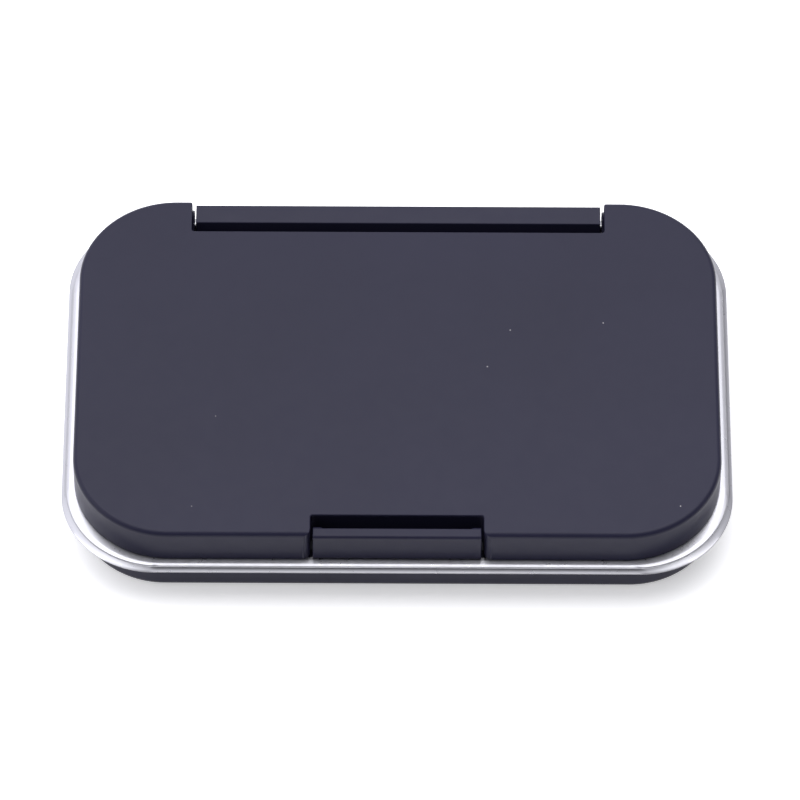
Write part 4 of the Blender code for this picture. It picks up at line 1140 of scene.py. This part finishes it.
def make_pans(look):
    low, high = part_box(PANS[0])
    shared = pan_mesh(low, high, look)
    slots = {entry["slot"]: entry for entry in frame["record"]["materials"]}
    for number, name in enumerate(PANS):
        low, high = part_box(name)
        middle = ((low[0] + high[0]) / 2, (low[1] + high[1]) / 2, low[2])
        colour_name = name[len("pan_"):]
        pan = bpy.data.objects.new("halfpan_" + colour_name, shared)
        bpy.context.scene.collection.objects.link(pan)
        pan.location = middle
        show(pan, "case", "pan_plastic", name)
        node = "paint_" + colour_name
        colour = tuple(slots[node]["base_color"][:3])
        cake = cake_mesh("cake_" + colour_name, low, high, paint_look(node, colour), number + 1)
        cake.location = middle
        show(cake, "case", node, node)


# ---- brush ----
BRUSH_CENTRE = ((HANDLE_LOW[1] + HANDLE_HIGH[1]) / 2, (HANDLE_LOW[2] + HANDLE_HIGH[2]) / 2)
NECK = (FERRULE_HIGH[2] - FERRULE_LOW[2]) / 2
MOUTH = FERRULE_MOUTH_SHARE * NECK


def make_handle(look):
    """Turned handle: blunt nose, full belly, a neck that meets the ferrule and a tenon inside it."""
    belly = (HANDLE_HIGH[2] - HANDLE_LOW[2]) / 2
    start = HANDLE_LOW[0]
    shoulder = FERRULE_LOW[0] - GAP
    profile = [(start, 0)]
    steps = 60
    for step in range(1, steps + 1):
        share = step / steps
        near = min(1.0, share / 0.06)
        swell = 0.62 + 0.38 * math.sin(math.pi / 2 * min(1.0, share / 0.7))
        late = max(0.0, (share - 0.7) / 0.3)
        radius = belly * swell * math.sqrt(near * (2 - near)) - (belly - NECK) * late * late * (3 - 2 * late)
        profile.append((start + (shoulder - start) * share, min(radius, belly)))
    tenon = NECK - TENON_WALL
    profile += [(shoulder, tenon), (HANDLE_HIGH[0], tenon)]
    handle = turned("handle", profile, BRUSH_CENTRE, look, BRUSH_SEGMENTS)
    return show(handle, "case", "lacquered_wood", "brush_handle")


def make_ferrule(look):
    """Tapered metal tube with three crimps."""
    low, high = FERRULE_LOW[0], FERRULE_HIGH[0]
    outer = []
    steps = 90
    for step in range(steps + 1):
        share = step / steps
        dent = sum(math.exp(-((share - place) / CRIMP_WIDTH) ** 2) for place in CRIMPS)
        outer.append((low + (high - low) * share, NECK + (MOUTH - NECK) * share - CRIMP_DEPTH * dent))
    inner = [(x, radius - FERRULE_WALL) for x, radius in reversed(outer)]
    work = bmesh.new()
    rings = [circle(work, x, radius, BRUSH_CENTRE, BRUSH_SEGMENTS) for x, radius in outer + inner]
    skin(work, rings, closed=True)
    ferrule = soften(finish_mesh("ferrule", work, look), 50)
    return show(ferrule, "case", "steel", "brush_ferrule")


def tuft_radius(share):
    """The tuft's radius on its way from the ferrule's mouth (0) to the tip (1)."""
    return 0.94 * MOUTH * (1 + 0.2 * math.sin(math.pi * min(1.0, share * 1.6))) * (1 - share ** 2.2)


def make_tuft(look):
    mouth_x = FERRULE_HIGH[0]
    tip = TUFT_HIGH[0]
    root = MOUTH - FERRULE_WALL - 0.05 * MM
    profile = [(TUFT_LOW[0], 0), (TUFT_LOW[0], root), (mouth_x, root)]
    steps = 30
    for step in range(1, steps):
        share = step / steps
        radius = tuft_radius(share) * min(1, 0.85 + share * 2)
        profile.append((mouth_x + (tip - mouth_x) * share, max(0.02 * MM, radius)))
    profile.append((tip, 0))
    return show(turned("tuft", profile, BRUSH_CENTRE, look, 48), "case", "brush_hair", "brush_tuft")


def hair_rings(work, number):
    """Four-sided rings along one hair on the tuft's surface, thinning towards its end."""
    angle = random.uniform(0, 2 * math.pi)
    stop = random.uniform(0.72, 0.995)
    start = random.uniform(0.0, 0.25)
    width = random.uniform(0.035, 0.06) * MM
    mouth_x = FERRULE_HIGH[0]
    y, z = BRUSH_CENTRE
    rings = []
    for step in range(HAIR_STEPS + 1):
        share = start + (stop - start) * step / HAIR_STEPS
        radius = tuft_radius(share) * min(1, 0.85 + share * 2) + 0.01 * MM
        wander = angle + 0.05 * math.sin(3 * share + number)
        around = Vector((0, -math.sin(wander), math.cos(wander)))
        outward = Vector((0, math.cos(wander), math.sin(wander)))
        here = Vector((mouth_x + (TUFT_HIGH[0] - mouth_x) * share, y, z)) + radius * outward
        thin = width * (1 - 0.8 * step / HAIR_STEPS)
        offsets = (around * thin, outward * thin, -around * thin, -outward * thin)
        rings.append([work.verts.new(here + offset) for offset in offsets])
    return rings


def make_hairs(look):
    """Loose hairs laid over the tuft."""
    random.seed(11)
    work = bmesh.new()
    for number in range(HAIRS):
        rings = hair_rings(work, number)
        skin(work, rings)
        work.faces.new(rings[0])
        work.faces.new(list(reversed(rings[-1])))
    hairs = finish_mesh("hairs", work, look)
    hairs.data.shade_smooth()
    return show(hairs, "case", "brush_hair")


# ---- stage ----
def make_world():
    """Soft studio surroundings: bright overhead and behind, dim low down on the camera's side."""
    world = bpy.data.worlds.new("studio")
    bpy.context.scene.world = world
    world.use_nodes = True
    nodes = world.node_tree.nodes
    links = world.node_tree.links
    background = nodes["Background"]
    place = nodes.new("ShaderNodeTexCoord")
    height = nodes.new("ShaderNodeVectorMath")
    height.operation = "DOT_PRODUCT"
    height.inputs[1].default_value = (-0.34, 0.60, 0.75)
    links.new(place.outputs["Generated"], height.inputs[0])
    ramp = nodes.new("ShaderNodeValToRGB")
    links.new(height.outputs["Value"], ramp.inputs["Fac"])
    elements = ramp.color_ramp.elements
    elements[0].position = 0.0
    elements[0].color = (0.05, 0.05, 0.06, 1)
    elements[1].position = 0.64
    elements[1].color = (1.00, 1.00, 1.06, 1)
    for position, level in ((0.75, 0.95), (0.88, 1.40), (0.96, 1.60)):
        step = elements.new(position)
        step.color = (level, level, level * 1.08, 1)
    links.new(ramp.outputs["Color"], background.inputs["Color"])
    background.inputs["Strength"].default_value = 1.0


def soft_light(name, place, size, power):
    """An area light aimed at the middle of the case."""
    data = bpy.data.lights.new(name, "AREA")
    data.shape = "RECTANGLE"
    data.size, data.size_y = size
    data.energy = power
    made = bpy.data.objects.new(name, data)
    made.location = place
    made.rotation_euler = (Vector((0, 0, TOP / 2)) - Vector(place)).to_track_quat("-Z", "Y").to_euler()
    bpy.context.scene.collection.objects.link(made)


def make_stage():
    outline = rounded_polygon(rectangle(-6.0, 6.0, -6.0, 6.0, 2.0, 16))
    prism("floor", outline, -0.02, 0.0, floor_look())
    soft_light("overhead", (0.0, 0.25, 1.1), (1.3, 1.0), 8.0)
    soft_light("left", (-1.1, -0.1, 0.55), (0.9, 0.6), 1.8)
    soft_light("right", (1.1, -0.1, 0.50), (0.7, 0.5), 0.5)


def make_camera():
    """Long lens from in front and above, aimed a little below the middle of the lid's top."""
    elevation = math.radians(54.0)
    azimuth = math.radians(-0.12)
    roll = math.radians(-0.35)
    distance = 1.265
    focal = 8.48
    drop = 6.47 * MM
    aside = 0.47 * MM
    level = math.cos(elevation)
    back = Vector((math.sin(azimuth) * level, -math.cos(azimuth) * level, math.sin(elevation)))
    right = Vector((math.cos(azimuth), math.sin(azimuth), 0))
    up = back.cross(right)
    place = Vector((0, 0, TOP)) + back * distance
    aim = Vector((0, 0, TOP)) - up * drop + right * aside
    back = (place - aim).normalized()
    right = up.cross(back).normalized()
    up = back.cross(right)
    turned_right = math.cos(roll) * right - math.sin(roll) * up
    turned_up = math.sin(roll) * right + math.cos(roll) * up
    data = bpy.data.cameras.new("camera")
    data.sensor_width = 36.0
    data.lens = 36.0 * focal
    data.clip_start = 0.05
    made = bpy.data.objects.new("camera", data)
    basis = Matrix((turned_right, turned_up, back)).transposed()
    made.matrix_world = Matrix.Translation(place) @ basis.to_4x4()
    bpy.context.scene.collection.objects.link(made)
    bpy.context.scene.camera = made


def main():
    bpy.context.scene.view_settings.view_transform = "Standard"
    plastic = case_look()
    steel = steel_look()
    make_camera()
    make_world()
    make_stage()
    make_lid(plastic)
    make_pins(steel)
    make_palette(palette_look())
    make_base(plastic)
    make_ring(trim_look())
    make_button(plastic)
    make_spring(steel)
    make_tray(tray_look())
    make_pans(pan_look())
    hair = hair_look()
    make_handle(lacquer_look())
    make_ferrule(steel)
    make_tuft(hair)
    make_hairs(hair)


main()
